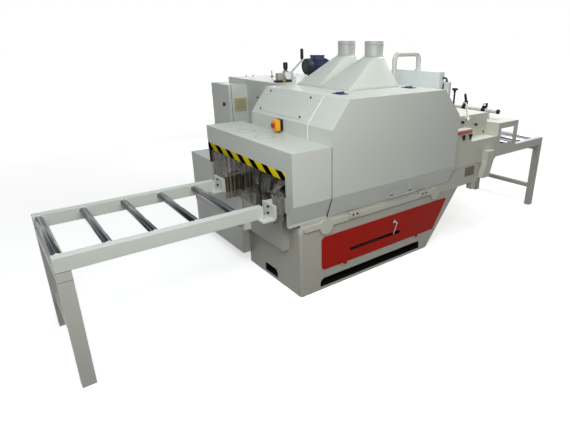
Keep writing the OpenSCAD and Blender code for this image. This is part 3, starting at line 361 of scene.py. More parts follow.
def metal(name, colour, shade, roughness, grain=(1.0, 1.0, 1.0), depth=0.00004, edge=0.0, slot=None):
    """Plated or bare metal: fine marks drawn along the grain, with clouded gloss."""
    finish = Finish(name, metallic=1.0, slot=slot)
    colour, shade = srgb(*colour), srgb(*shade)
    marks = finish.noise(90.0, 4.0, grain)
    clouds = finish.noise(7.0, 3.0)
    finish.drive("Base Color", finish.blend(marks * 0.6 + clouds * 0.4, shade, colour))
    finish.drive("Roughness", roughness - 0.05 + marks * 0.12 + clouds * 0.06)
    finish.relief(marks, depth, finish.soft_edge(edge)[0] if edge else None)
    return finish


def slotted_plate(corners, corner_radius, slot_low, slot_high, y_front, y_back, edge):
    """Flat plate with one slot. Its edge runs straight between corners rounded by arcs, and each
    point of the edge is joined to the slot's point nearest to it. Rings go from the slot's back
    over the outer edge, which is eased by edge, to the slot's front and through the slot."""
    corner_radius = np.array(corner_radius)
    before = unit(np.roll(corners, 1, 0) - corners)
    after = unit(np.roll(corners, -1, 0) - corners)
    half = np.arccos((before * after).sum(1)) / 2.0
    centre = corners + unit(before + after) * (corner_radius / np.sin(half))[:, None]
    first = corners + before * (corner_radius / np.tan(half))[:, None] - centre
    sweep = np.linspace(0.0, 1.0, 9)[None, :] * (np.pi - 2.0 * half)[:, None]
    turn = np.arctan2(first[:, 1], first[:, 0])[:, None] + sweep
    arcs = centre[:, None] + corner_radius[:, None, None] * spokes(turn)
    step = np.linspace(0.0, 1.0, 40)[1:-1, None]
    runs = arcs[:, None, -1] + step * (np.roll(arcs[:, 0], -1, 0) - arcs[:, -1])[:, None]
    rim = np.concatenate([arcs, runs], 1).reshape(-1, 2)
    along = unit(np.roll(rim, -1, 0) - np.roll(rim, 1, 0))
    eased = rim - edge * np.stack([along[:, 1], -along[:, 0]], -1)
    rise = (rim[:, 1] - rim[:, 1].min()) / np.ptp(rim[:, 1])
    slot = np.stack([np.clip(rim[:, 0], slot_low[0], slot_high[0]),
                     slot_low[1] + (slot_high[1] - slot_low[1]) * np.clip(rise * 1.25 - 0.125, 0.0, 1.0)], -1)
    levels = [(slot, y_back), (eased, y_back), (rim, y_back - edge), (rim, y_front + edge), (eased, y_front),
              (slot, y_front), (slot, y_back)]
    return skin(np.stack([
        np.stack([line[:, 0], np.full(len(line), y), line[:, 1]], -1) for line, y in levels]), False)


panel_red = painted("panel_red", (178, 30, 15), (160, 24, 11), (200, 70, 52), 0.42, 0.004, 0.0001)
panel_red.drive("Specular IOR Level", 0.10)
chrome_trim = metal("chrome_trim", (232, 234, 236), (196, 199, 203), 0.14, edge=0.001)
# The latch lever and the pull handle are chrome with a darker copy of it: painted shade for the dark
# surroundings they reflect.
shaded_chrome = metal("shaded_chrome", (172, 174, 176), (118, 120, 122), 0.20, edge=0.001, slot="chrome_trim")
PANEL_CORNERS = np.array([(-0.545, 0.180), (0.827, 0.180), (1.012, 0.470), (-0.545, 0.470)])
PANEL_RADII = (0.036, 0.014, 0.012, 0.036)
PANEL_SLOT = ((-0.253, 0.268), (0.354, 0.299))
PANEL_FRONT = -0.4185
PANEL_BACK = -0.4105
piece("panel_sheet", "cover_panel", panel_red, [
    slotted_plate(PANEL_CORNERS, PANEL_RADII, *PANEL_SLOT, PANEL_FRONT, PANEL_BACK, 0.0015)], ["cover_panel"])
KNUCKLE_HALF = 0.0198
knuckle_form = mirrored([(0.0043, -KNUCKLE_HALF), (0.0065, -KNUCKLE_HALF), (0.007, 0.0005 - KNUCKLE_HALF)])
piece("panel_knuckles", "cover_panel", panel_red, [
    shell for x in (-0.305, 0.587) for shell in (
        turned(knuckle_form, (x, -0.418, 0.170), (1, 0, 0), 28),
        slab((x - KNUCKLE_HALF, -0.4215, 0.1745), (x + KNUCKLE_HALF, -0.4145, 0.1835), 0.0015))])
LATCH_X = 0.270
LATCH_Z = 0.404
LATCH_FACE = PANEL_FRONT - 0.0003
latch_bar = np.array([0.0215, 0.0, -0.0165])
latch_hub = np.array([LATCH_X, LATCH_FACE, LATCH_Z])
latch_cross = latch_hub + np.linspace(-1.0, 1.0, 13)[:, None] * latch_bar + np.array([0.0, -0.020, 0.0])
latch_drop = np.linspace(0.0, 1.0, 16)[:, None]
latch_path = (latch_hub + np.array([0.016, -0.020, -0.020])
              + latch_drop * np.array([-0.034, 0.006, -0.098]))
piece("latch_lever", "panel_latch", shaded_chrome, [
    turned(mm((0, 0), (16, 0), (16, 4), (12, 7), (7, 9), (7, 20), (0, 21)), latch_hub, (0, -1, 0)),
    tube(latch_cross, np.interp(np.arange(13), [0, 1, 3, 6, 9, 11, 12],
                                [0.004, 0.0085, 0.0085, 0.005, 0.0085, 0.0085, 0.004]), (0, 1, 0)),
    tube(latch_path, np.interp(latch_drop[:, 0], [0.0, 0.1, 0.9, 1.0], [0.003, 0.0052, 0.0048, 0.002]),
         (0, 1, 0)),
    turned(mm((0, -1), (6, 0), (6, 8), (0, 8)), latch_hub, (0, 1, 0)),
], ["panel_latch"])


# Edges of base and bed: the operator's corner is pressed to a tight bend from floor to bed top.
# The upper corners of the fork openings are burnt out round, and all of it is painted over.
PLAN_RADIUS = 0.080
PLAN_CENTRE = np.array([-0.670, -0.330])
EDGE_RADIUS = 0.022
EDGE_PROUD = 0.0003
FORK_TOP = 0.101
SIDE_WALL = (-0.4103, -0.398)
END_WALL = (-0.7503, -0.738)
BED_Z = (0.545, 0.640)


def arc(centre, radius, start, stop, count=12):
    """Points of a circle between two angles given in quarter turns."""
    return np.array(centre) + radius * spokes(np.linspace(start, stop, count) * np.pi / 2.0)


def prism(outline, low, high, axis):
    """Straight bar: one flat outline carried along an axis from low to high."""
    rings = [np.insert(outline, axis, level, axis=1) for level in (low, high)]
    return skin(np.stack(rings))


def fork_corner(corner, side, radius):
    """Outline of a filled upper corner: the corner itself, then a hollow arc between its two edges."""
    centre = np.array(corner) + radius * np.array([side, -1.0])
    hollow = centre + (arc((0.0, 0.0), radius, 0.0, 1.0) * [-side, 1.0])
    return np.concatenate([[np.array(corner) + 0.002 * np.array([-side, 1.0])], hollow])


edge_reach = PLAN_RADIUS - EDGE_RADIUS + EDGE_PROUD
edge_plan = np.concatenate([arc(PLAN_CENTRE - edge_reach, EDGE_RADIUS, 2.0, 3.0),
                            arc(PLAN_CENTRE, PLAN_RADIUS - 0.002, 3.0, 2.0, 24)])
fork_fills = [prism(fork_corner((-0.557, FORK_TOP), 1.0, 0.045), *SIDE_WALL, 1),
              prism(fork_corner((0.644, FORK_TOP), -1.0, 0.025), *SIDE_WALL, 1),
              prism(fork_corner((-0.061, FORK_TOP), 1.0, 0.040), *END_WALL, 0),
              prism(fork_corner((0.139, FORK_TOP), -1.0, 0.015), *END_WALL, 0)]
piece("base_edge", "machine", base_shaded_paint, [prism(edge_plan, 0.0, BED_Z[0], 2), *fork_fills])
piece("bed_edge", "machine", bed_paint, [prism(edge_plan, *BED_Z, 2)])


# Feed chain: cast slats on two turned drums that run in the side plates of the feed bed.
# Bare steel, polished by the boards on top and dull with oil and dust elsewhere.
iron = metal("iron", (120, 122, 122), (82, 83, 82), 0.42, depth=0.0003, edge=0.002)
dress(iron, "feed_chain", "bearing_pedestals")
JOURNAL_RADIUS = 0.0194
SHAFT_END = 0.385
DRUM_RADIUS = 0.0877
DRUM_HALF = 0.170
drum_profile = mirrored([
    (0.0, -SHAFT_END), (JOURNAL_RADIUS - 0.001, -SHAFT_END), (JOURNAL_RADIUS, 0.001 - SHAFT_END),
    (JOURNAL_RADIUS, -DRUM_HALF), (DRUM_RADIUS - 0.003, -DRUM_HALF), (DRUM_RADIUS, 0.003 - DRUM_HALF)])


def axle(node):
    """Middle of a roller's axis, where it crosses the middle line of the machine."""
    lo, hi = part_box(node)
    return (lo.x + hi.x) / 2.0, 0.0, (lo.z + hi.z) / 2.0


for number in (1, 2):
    node = f"feed_drum_{number}"
    piece(f"chain_drum_{number}", node, iron, [turned(drum_profile, axle(node), (0, 1, 0), 72)], [node])


# Infeed hood: one folded sheet over the mouth of the saw, welded at its corners.
# A band of striped tape marks its front edge, and two plugs close the lifting holes on top.
mouth_paint = painted("mouth_paint", *SHEET_GREY)
# Inside the infeed hood the paint turns dark brown: painted shade in the hood's hollow.
mouth_shade = mouth_paint.axis("X").within(-0.8455, -0.490) * (mouth_paint.axis("Z") < 1.2025)
lay_shade_and_dark(mouth_paint, mouth_shade * mouth_paint.axis("Y").within(-0.405, 0.9055), SHADE_AND_BOLT_DARK)
dress(mouth_paint, "infeed_hood")
infeed_lo, infeed_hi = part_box("infeed_hood")
TAPE_LOW = 0.992
TAPE_HIGH = 1.052
TAPE_NEAR = -0.389
STRIPE_RUN = 0.203
STRIPE_LEAN = 1.33
tape = Finish("tape_yellow_black", slot="estop_yellow")
stripe_step = (TAPE_NEAR + 0.04 - tape.axis("Y") + STRIPE_LEAN * (tape.axis("Z") - TAPE_HIGH)) / STRIPE_RUN
scuff = tape.noise(55.0, 5.0)
tape_tone = tape.blend((stripe_step + 40.0).part() > 0.54, srgb(238, 216, 26), srgb(8, 7, 6))
tape.drive("Base Color", tape.blend(((scuff - 0.60) * 4.0).clear() * 0.06, tape_tone, srgb(110, 104, 80)))
tape.drive("Roughness", 0.46 + scuff * 0.2)
tape.drive("Specular IOR Level", 0.0)
tape.relief(scuff, 0.00008)
piece("hazard_band", "machine", tape, [
    slab((infeed_lo.x - 0.0006, TAPE_NEAR, TAPE_LOW),
         (infeed_lo.x + 0.0008, infeed_hi.y - 0.001, TAPE_HIGH), 0.0004)])
joint_shade = painted(
    "joint_shade", (92, 92, 86), (74, 74, 68), (120, 120, 112), 0.5, 0.001, 0.0001,
    slot="machine_paint")
PLUG_RADIUS = 0.075
PLUG_X = -0.70
PLUG_Y = (0.127, 0.436)
plug_form = [(0.0, 0.0025), (0.30, 0.0024), (0.55, 0.0018), (0.86, 0.0014), (0.93, 0.0008), (1.0, -0.0005)]
piece("hole_plugs", "machine", machine_paint, [
    turned(np.array(plug_form) * [PLUG_RADIUS, 1.0], (PLUG_X, y, infeed_hi.z), (0, 0, 1), 64)
    for y in PLUG_Y])
plug_shade = painted(
    "plug_shade", (150, 152, 146), (138, 140, 134), (168, 170, 164), 0.5, 0.001, 0.0001,
    slot="machine_paint")
piece("plug_rims", "machine", plug_shade, [
    turned(mm((-2, 0), (-2, 1), (2, 0.8), (2.5, -0.5)) + [PLUG_RADIUS, 0.0],
           (PLUG_X, y, infeed_hi.z), (0, 0, 1), 64) for y in PLUG_Y])


# Strip curtain: soft clear vinyl strips hung from a rod behind the hood's front edge.
# Age and smoke have browned them; the ones that boards push past keep a set curl.
clear_strip = Finish("clear_strip", constants={
    "IOR": 1.5, "Specular IOR Level": 0.12, "Coat Weight": 0.7, "Coat Roughness": 0.07})
haze = clear_strip.noise(5.0, 4.0, (1.0, 1.0, 0.30))
drawn = clear_strip.noise(80.0, 3.0, (1.0, 1.0, 0.02))
# Pale vertical streaks in the strips' colour and opacity: drawn marks in the vinyl, and also painted
# highlights for the sheen running down the strips.
streak_and_sheen = ((drawn - 0.42) * 4.0).clear()
clear_strip.drive("Base Color", clear_strip.blend(streak_and_sheen, srgb(34, 31, 23), srgb(136, 130, 108)))
clear_strip.drive("Roughness", 0.10 + haze * 0.14)
clear_strip.drive("Alpha", (0.22 + haze * 0.20 + streak_and_sheen * 0.30).clear())
clear_strip.relief(drawn, 0.0001)
curtain_lo, curtain_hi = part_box("strip_curtain")
STRIP_WIDE = 0.050
STRIP_STEP = 0.046
STRIP_THICK = 0.002
STRIP_COUNT = 27
OVER_ARM = 0.275
PAST_ARM = 0.435
STRIP_LOW = 0.652
ARM_TOP = 0.872
draw = np.random.default_rng(11)
across = np.linspace(-0.5, 0.5, 9)
down = np.linspace(0.0, 1.0, 48)
rod_x = (curtain_lo.x + curtain_hi.x) / 2.0
rod_z = curtain_hi.z - 0.006
strip_y = np.append(curtain_lo.y + 0.037 + np.arange(STRIP_COUNT) * STRIP_STEP, 0.878)


def ease(t, start, stop):
    """Smooth step: three times the square less twice the cube of the way from start to stop."""
    t = np.clip((t - start) / (stop - start), 0.0, 1.0)
    return t * t * (3.0 - 2.0 * t)


def ribbon(x, y, z, turn, cup):
    """Strip along the path (x, y, z): it is STRIP_WIDE across a line that is turned from Y by an
    angle, and bows by cup in a parabola over its width. The ring is its front, then its back."""
    w = across[None, :]
    x, y, z, turn, cup = (np.broadcast_to(part, len(down))[:, None] for part in (x, y, z, turn, cup))
    bow = cup * (1.0 - 4.0 * w ** 2)
    front = np.stack(np.broadcast_arrays(
        x - STRIP_WIDE * w * np.sin(turn) - bow * np.cos(turn),
        y + STRIP_WIDE * w * np.cos(turn) - bow * np.sin(turn), z), -1)
    back = front + STRIP_THICK * np.stack(np.broadcast_arrays(np.cos(turn), np.sin(turn), 0.0 * z), -1)
    return skin(np.concatenate([front, back[:, ::-1]], 1))


def hung_strip(index, low, slack):
    """Hanging strip: it falls from the rod to its low end, drifts along X by slack times the square of
    the way down, and turns and bows in step with it. Neighbours hang on either side of the rod.
    The bare draws use up random numbers that are not needed, so that the later draws in the row stay as they
    are."""
    side = rod_x + (-0.0015 if index % 2 else 0.0015)
    draw.uniform(size=2)
    turn = draw.uniform(-0.08, 0.08) * down
    draw.choice(2)
    draw.uniform()
    cup = draw.uniform(-0.003, 0.003) * down
    draw.uniform()
    return ribbon(side + slack * down ** 2, strip_y[index], rod_z - (rod_z - low) * down, turn, cup)


def draped_strip(y_top, x_end, y_end):
    """Strip pushed out beside an arm: it falls behind the hood's edge, leans out to x_end, slides
    to y_end at the arm's near side while it turns by 90 degrees, and hangs down along that side."""
    x = rod_x + (x_end - rod_x) * ease(down, 0.15, 0.45)
    y = y_top + (y_end - y_top) * ease(down, 0.35, 0.58)
    z = np.interp(down, [0.0, 0.6, 1.0], [rod_z, 0.868, 0.690])
    return ribbon(x, y, z, np.pi / 2.0 * ease(down, 0.36, 0.60), 0.001)


def curled_strip(y_top, reach, drop, crest, low):
    """Strip with a set curl: between the heights drop and crest it swings out by reach along a
    line CURL_TURN from the infeed direction, faces that way, and falls back by the low end."""
    z = rod_z - (rod_z - low) * down
    rise = ease(-z, -drop, -crest)
    out = reach * rise * (1.0 - 0.6 * ease(-z, -crest, -low))
    return ribbon(rod_x - out * math.cos(CURL_TURN), y_top - out * math.sin(CURL_TURN), z,
                  CURL_TURN * ease(rise, 0.0, 0.3), CURL_CUP * rise)


CURL_TURN = 0.90
CURL_CUP = 0.012
CURLS = [(0.016, 0.110, 1.005, 0.900, 0.690), (-0.100, 0.110, 0.985, 0.867, 0.670),
         (-0.143, 0.110, 0.990, 0.870, 0.680)]
piece("vinyl_strips", "strip_curtain", clear_strip, [
    hung_strip(i, STRIP_LOW, draw.uniform(-0.006, 0.006))
    for i, y in enumerate(strip_y) if abs(y) < OVER_ARM], ["strip_curtain"])
curl_vinyl = Finish("curl_vinyl", constants={
    "IOR": 1.5, "Specular IOR Level": 0.12, "Coat Weight": 0.4, "Coat Roughness": 0.05}, slot="clear_strip")
smoke = curl_vinyl.noise(14.0, 3.0, (1.0, 1.0, 0.3))
curl_vinyl.drive("Base Color", curl_vinyl.blend(smoke, srgb(22, 20, 15), srgb(60, 56, 45)))
curl_vinyl.drive("Roughness", 0.08 + smoke * 0.10)
curl_vinyl.drive("Alpha", (0.40 + smoke * 0.35).clear())
curl_vinyl.relief(smoke, 0.0006)
piece("curled_strips", "strip_curtain", curl_vinyl, [curled_strip(*set_in) for set_in in CURLS])
NEAR_SIDE = -0.3925
FAR_SIDE = 0.3175
DRAPES = [(-0.350, -0.937, NEAR_SIDE), (-0.304, -0.883, NEAR_SIDE),
          *[(0.318, x, FAR_SIDE) for x in (-0.958, -0.914, -0.872)]]
piece("draped_strips", "machine", clear_strip, [draped_strip(*drape) for drape in DRAPES])
piece("far_strips", "machine", clear_strip, [
    hung_strip(i, draw.uniform(0.655, 0.675) if y > PAST_ARM else ARM_TOP, draw.uniform(-0.007, 0.0))
    for i, y in enumerate(strip_y) if y > OVER_ARM])
piece("curtain_rod", "strip_curtain", chrome_trim, [
    turned([(0.0, 0.0), (0.0055, 0.0), (0.006, 0.0005), (0.006, curtain_hi.y - curtain_lo.y - 0.0005),
            (0.0055, curtain_hi.y - curtain_lo.y), (0.0, curtain_hi.y - curtain_lo.y)],
           (rod_x, curtain_lo.y, rod_z), (0, 1, 0), 16)])


# Main hood with its swinging door: folded sheet steel, welded, filled and painted.
# Dark socket screws hold the access plate, and blued hinges carry the door along the top.
# A black strip lies in the joint between the door and the infeed hood: painted shade for the dark gap there.
hood_paint = painted("hood_paint", *SHEET_GREY)
hood_x, hood_y, hood_z = (hood_paint.axis(name) for name in "XYZ")
# Inside the main hood and its mouth the paint turns dark brown: painted shade in these hollows.
hood_inside_shade = hood_x.within(-0.4915, 0.650) * hood_y.within(-0.200, 0.6925) * (hood_z < 1.315)
hood_mouth_shade = (hood_x < -0.4915) * hood_y.within(-0.478, 0.690) * (hood_z < 1.200)
lay_shade_and_dark(hood_paint, hood_inside_shade + hood_mouth_shade, SHADE_AND_BOLT_DARK)
dress(hood_paint, "main_hood")
dress(machine_paint, "hood_door", "access_plate")
navy_paint = painted("navy_paint", (34, 42, 92), (24, 30, 72), (86, 94, 140), 0.34, 0.003)
dress(navy_paint, "hinge_leaves", "door_leaves", "main_motor")
black_oxide = metal("black_oxide", (46, 46, 48), (26, 26, 28), 0.38, edge=0.001)


def screw_heads(places, axis, radius):
    """Domed socket heads: one turned profile with a sunk middle, repeated at each place."""
    profile = np.array([(1, 0), (1, 0.35), (0.9, 0.52), (0.62, 0.62), (0.5, 0.60), (0.42, 0.2), (0, 0.2)])
    return [turned(profile * radius, place, axis, 18) for place in places]


slope_up = np.array([-0.212, 0.0, 0.167]) / np.hypot(0.212, 0.167)
slope_run = np.array([0.167, 0.0, 0.212]) / np.hypot(0.212, 0.167)
slope_foot = np.array([-0.495, 0.0, 1.321])
plate_screws = [slope_foot + slope_run * a + slope_up * 0.0058 + np.array([0.0, y, 0.0])
                for a in (0.048, 0.230) for y in (-0.037, 0.572)]
piece("plate_screws", "machine", black_oxide, screw_heads(plate_screws, slope_up, 0.0085))
lean = math.atan2(0.063, 0.176)
handle_out = np.array([0.0, -math.cos(lean), -math.sin(lean)])
handle_root = np.array([0.0, -0.4415, 0.695])
handle_line = handle_root + handle_out * 0.045
piece("pull_handle", "hood_door", shaded_chrome, [
    turned(mm((0, 0), (4, 0), (6.5, 3), (7, 6), (7, 329), (6.5, 332), (4, 335), (0, 335)),
           (0.127, *handle_line[1:]), (1, 0, 0), 28),
    *[turned(mm((16, 0), (16, 3), (10, 6), (7.5, 10), (6.5, 20), (6.5, 45)),
             (x, *handle_root[1:]), handle_out, 28) for x in (0.179, 0.410)],
], ["door_handle"])
gasket_shade_rubber = painted(
    "gasket_shade_rubber", (24, 24, 24), (16, 16, 16), (52, 50, 48), 0.7, 0.001, 0.0002,
    slot="belt_rubber")
# A black strip in the door joint: painted shade for the dark gap between door and infeed hood.
GAP_SHADE_RADIUS = 0.0022
hem_run = np.linspace(0.0, 1.0, 12)[:, None]
gap_shade_path = np.concatenate([
    np.array([-0.4974, -0.4830, 1.2040]) + hem_run[:-1] * np.array([0.0, 0.0, -0.3930]),
    np.array([-0.4974, -0.4830, 0.8110]) + hem_run * np.array([0.0, 0.0630, -0.1760])])
piece("hood_gap_shade", "machine", gasket_shade_rubber, [tube(gap_shade_path, GAP_SHADE_RADIUS, (1, 0, 0), 10)])
DOOR_EDGE = -0.174
door_seam = np.concatenate([
    np.stack([np.full(12, -0.4950), np.full(12, DOOR_EDGE), np.linspace(1.208, 1.319, 12)], -1),
    np.stack([np.linspace(-0.4938, -0.3290, 20), np.full(20, DOOR_EDGE),
              np.linspace(1.3225, 1.5320, 20)], -1)])
# The bead along the door's folded edge is painted lighter than the sheet: a painted highlight along the fold.
bead_highlight_paint = painted(
    "bead_highlight_paint", (226, 230, 226), (220, 223, 218), (234, 235, 230), 0.30, slot="machine_paint")
piece("door_bead", "hood_door", bead_highlight_paint, [tube(door_seam, 0.0035, (0, 1, 0), 12)])
HINGE_X = (-0.169, 0.635)
LEAF_TOP = 1.537
for name, body, y in (("hinge_screws", "machine", -0.128), ("door_hinge_screws", "hood_door", -0.211)):
    spots = [(x + dx, y, LEAF_TOP) for x in HINGE_X for dx in (-0.026, 0.0, 0.026)]
    piece(name, body, black_oxide, screw_heads(spots, (0, 0, 1), 0.005))


# Dust chutes: two square-to-round hoppers, rolled and seam-welded from thin sheet.
# Each ends in a round spigot with a rolled bead that keeps a hose from slipping off.
CHUTE_X = (0.0, 0.610)
CHUTE_Y = ((-0.075, 0.340), (0.345, 0.690))
PIPE_X = 0.475
PIPE_RADIUS = 0.085
ROOF_Z = 1.533
NECK_Z = 1.800
PIPE_TOP = 1.925
SPIGOT_SIDES = 52


def hopper(y0, y1):
    """Square-to-round hopper: a point runs round the foot while its partner runs round the neck,
    side for side, and straight lines join them, so a fold rises from each corner of the foot."""
    t = np.linspace(-1.0, 1.0, 13)[:-1]
    middle = np.array([sum(CHUTE_X) / 2.0, (y0 + y1) / 2.0])
    half = np.array([CHUTE_X[1] - CHUTE_X[0], y1 - y0]) / 2.0
    one = np.ones_like(t)
    sides = np.stack([np.stack(side, -1) for side in ((one, t), (-t, one), (-one, -t), (t, -one))])
    a = (np.arange(4)[:, None] * 2.0 + t) * np.pi / 4.0
    foot = np.concatenate([middle + half * sides.reshape(-1, 2), np.full((len(t) * 4, 1), ROOF_Z)], 1)
    ring = spokes(a).reshape(-1, 2) * PIPE_RADIUS
    neck = np.concatenate([ring + [PIPE_X, middle[1]], np.full((len(t) * 4, 1), NECK_Z)], 1)
    s = np.linspace(0.0, 1.0, 14)[:, None, None]
    return skin(foot * (1.0 - s) + neck * s, False)


def spigot(y):
    """Wall of a round spigot as one closed ring: up the outside, with a weld at its foot and a bead
    near its rim, and down the inside."""
    r = PIPE_RADIUS - 0.0005
    rise = PIPE_TOP - NECK_Z
    wall = [(r + 0.0015, -0.004), (r + 0.003, 0.0), (r + 0.0015, 0.004), (r, 0.007), (r, rise - 0.03)]
    bead = np.linspace(0.0, np.pi, 7)
    wall += [(r + 0.003 * math.sin(t), rise - 0.024 - 0.006 * math.cos(t)) for t in bead]
    wall += [(r, rise), (r - 0.0025, rise), (r - 0.0025, -0.25)]
    rings = turned(wall, (PIPE_X, y, NECK_Z), (0, 0, 1), SPIGOT_SIDES)[0].reshape(-1, SPIGOT_SIDES, 3)
    return skin(np.concatenate([rings, rings[:1]]), False)


chute_paint = painted(
    "chute_paint", (203, 207, 200), (195, 199, 191), (220, 221, 214), 0.38, 0.003,
    slot="machine_paint")
chutes = piece("dust_hoppers", "machine", chute_paint, [hopper(*y) for y in CHUTE_Y], ["dust_chutes"], 20.0)
chute_wall = chutes.modifiers.new("sheet", "SOLIDIFY")
chute_wall.thickness = 0.003
chute_wall.offset = -1.0
# The spigots get a darker copy of the sheet grey: painted shade on the pipes.
spigot_shaded_paint = painted(
    "spigot_shaded_paint", (181, 184, 178), (173, 176, 169), (198, 199, 193), 0.38, 0.003,
    slot="machine_paint")
piece("dust_spigots", "machine", spigot_shaded_paint, [spigot((y0 + y1) / 2.0) for y0, y1 in CHUTE_Y])


# Cabinets: the drive cabinet, the low side cabinet and the switch cupboard behind the hood.
# Folded sheet; the cupboard has a quarter-turn lock and a filter grille, and a black strip round its door is
# painted shade for the gap there.
dress(machine_paint, "drive_cabinet", "side_cabinet", "electrical_box", "electrical_door")
filter_beige = painted("filter_beige", (188, 178, 142), (172, 162, 124), (202, 194, 164), 0.6, 0.002, 0.0006)
dress(filter_beige, "vent_grille")
black_plastic = painted("black_steel", (30, 30, 32), (20, 20, 22), (70, 70, 72), 0.42, 0.002, 0.0001)
black_plastic.drive("Specular IOR Level", 0.22)
LOCK_Y = 1.619
LOCK_Z = 1.274
piece("cupboard_lock", "electrical_door", black_plastic, [
    turned(mm((17.5, 0), (17.5, 8), (16, 10.8), (0, 11.2)), (-0.3215, LOCK_Y, LOCK_Z), (-1, 0, 0)),
    slab((-0.3425, LOCK_Y - 0.0065, LOCK_Z - 0.0205), (-0.331, LOCK_Y + 0.0065, LOCK_Z + 0.0205), 0.003, 0)])
piece("cupboard_hinges", "electrical_door", black_plastic, [
    slab((-0.3235, 1.9155, z), (-0.306, 1.9215, z + 0.024), 0.002) for z in (0.9955, 1.3655)])
top_screws = [(0.107, 1.89, ROOF_Z), (0.185, 1.87, ROOF_Z)]
side_screws = [(-0.108, 1.269, 1.362)]
piece("cabinet_screws", "machine", black_oxide,
      screw_heads(top_screws, (0, 0, 1), 0.011) + screw_heads(side_screws, (-1, 0, 0), 0.010))
# A black strip round the cupboard door: painted shade for the gap between door and box.
GAP_SHADE_X = (-0.2935, -0.2885)
GAP_SHADE_Y = (1.4955, 1.9155)
GAP_SHADE_Z = (0.8795, 1.4805)
piece("cupboard_gap_shade", "machine", gasket_shade_rubber, [
    slab((GAP_SHADE_X[0], y, GAP_SHADE_Z[0]), (GAP_SHADE_X[1], y + 0.002, GAP_SHADE_Z[1]), 0.0008)
    for y in (GAP_SHADE_Y[0], GAP_SHADE_Y[1] - 0.002)] + [
    slab((GAP_SHADE_X[0], GAP_SHADE_Y[0], z), (GAP_SHADE_X[1], GAP_SHADE_Y[1], z + 0.002), 0.0008)
    for z in (GAP_SHADE_Z[0], GAP_SHADE_Z[1] - 0.002)])
cabinet_pin = piece("cabinet_pin", "machine", iron, [
    turned(mm((18, 0), (18, 6), (7, 10), (6, 16), (6, 70), (4, 74), (0, 75)),
           (0.268, 1.581, ROOF_Z), (0, 0, 1), 24)])


# Emergency stop: a moulded yellow box on a black foot, with a red mushroom button.
# Screwed to the hood's front wall within reach of the infeed.
estop_yellow = painted("estop_yellow", (242, 166, 20), (232, 152, 12), (250, 200, 90), 0.32, 0.002, 0.0001)
estop_red = painted("estop_red", (168, 36, 30), (150, 28, 24), (196, 84, 76), 0.30, 0.001, 0.0001)
stop_lo, stop_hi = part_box("estop_box")
stop_y = (stop_lo.y + stop_hi.y) / 2.0
stop_z = (stop_lo.z + stop_hi.z) / 2.0
piece("stop_housing", "machine", estop_yellow, [
    slab((stop_lo.x, stop_lo.y + 0.002, stop_lo.z + 0.002),
         (stop_hi.x - 0.024, stop_hi.y - 0.002, stop_hi.z - 0.002), 0.006, 0),
    turned(mm((24.5, 0), (30, 0), (30, 1.5), (28, 3), (24.5, 3)),
           (stop_lo.x + 0.001, stop_y, stop_z), (-1, 0, 0))],
    ["estop_box"])
piece("stop_foot", "machine", black_plastic, [
    slab((stop_hi.x - 0.026, stop_lo.y, stop_lo.z), (stop_hi.x - 0.0003, stop_hi.y, stop_hi.z), 0.004, 0)])
button_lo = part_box("estop_button")[0]
piece("stop_mushroom", "estop_button", estop_red, [
    turned(mm((9, -20), (9, 11.8), (14, 12.4), (21.5, 13.2), (23, 15.7), (22.8, 20),
              (21, 25.5), (16, 28.5), (9, 29.8), (0, 30)),
           (button_lo.x + 0.030, stop_y, stop_z), (-1, 0, 0), 48)], ["estop_button"])


# Roller tables: square tube rails and legs, mitred, welded and painted.
# Angle brackets with black bolts hang the infeed rails on the arms of the feed bed.
dress(machine_paint, "table_rails", "rail_brackets")
leg_paint = painted("leg_paint", (190, 190, 183), (183, 183, 175), (206, 206, 199))
dress(leg_paint, "table_legs")
dress(black_oxide, "bracket_bolts")
LEG_X = ((-2.323, -2.245), (2.708, 2.786))
LEG_Y = ((-0.417, -0.357), (0.357, 0.417))
JOINT_Z = (0.705, 0.764)
piece("leg_joints", "machine", joint_shade, [
    slab((x0 - 0.0005, y0 - 0.0005, z - 0.0015), (x1 + 0.0005, y1 + 0.0005, z + 0.0015), 0.0004)
    for x0, x1 in LEG_X for y0, y1 in LEG_Y for z in JOINT_Z])


# Table rollers: drawn steel tube with pressed-in bearing ends, zinc plated.
# Each turns on a fixed shaft that drops into holes in the rails.
ALONG_ROLLER = (1.5, 0.01, 1.5)
ZINC_DARK = (28, 30, 33)
ZINC_LIGHT = (136, 140, 146)
zinc_steel = metal("zinc_steel", ZINC_LIGHT, ZINC_DARK, 0.13, ALONG_ROLLER, 0.00005)
# Dark and light bands along the rollers are drawn marks and also painted reflections: dark for the dark
# surroundings, light lines for highlights.
roller_marks_and_reflections = zinc_steel.noise(130.0, 3.0, ALONG_ROLLER)
zinc_steel.drive("Base Color", zinc_steel.blend(
    ((roller_marks_and_reflections - 0.46) * 4.5).clear(), srgb(*ZINC_DARK), srgb(*ZINC_LIGHT)))
# The outfeed rollers get a lighter copy of the plating: painted reflection of the bright surroundings.
bright_painted_zinc = metal(
    "bright_painted_zinc", (226, 228, 234), (128, 131, 139), 0.18, ALONG_ROLLER, 0.00005, slot="zinc_steel")
ROLLER_RADIUS = 0.025
ROLLER_HALF = 0.356
SHAFT_RADIUS = 0.010
SHAFT_HALF = 0.387
roller_profile = mirrored([
    (0.0, -SHAFT_HALF), (SHAFT_RADIUS - 0.001, -SHAFT_HALF), (SHAFT_RADIUS, -SHAFT_HALF + 0.001),
    (SHAFT_RADIUS, -ROLLER_HALF + 0.003), (0.0215, -ROLLER_HALF + 0.003), (0.0222, -ROLLER_HALF),
    (0.0240, -ROLLER_HALF), (ROLLER_RADIUS, -ROLLER_HALF + 0.0012)])
bearing_seal = mm((10.5, 0), (21.5, 0), (22.2, 1.5), (21.5, 4), (10.5, 4))
tube_band = mm((24.5, -10), (25.6, -9), (25.6, -2), (24.5, -1))
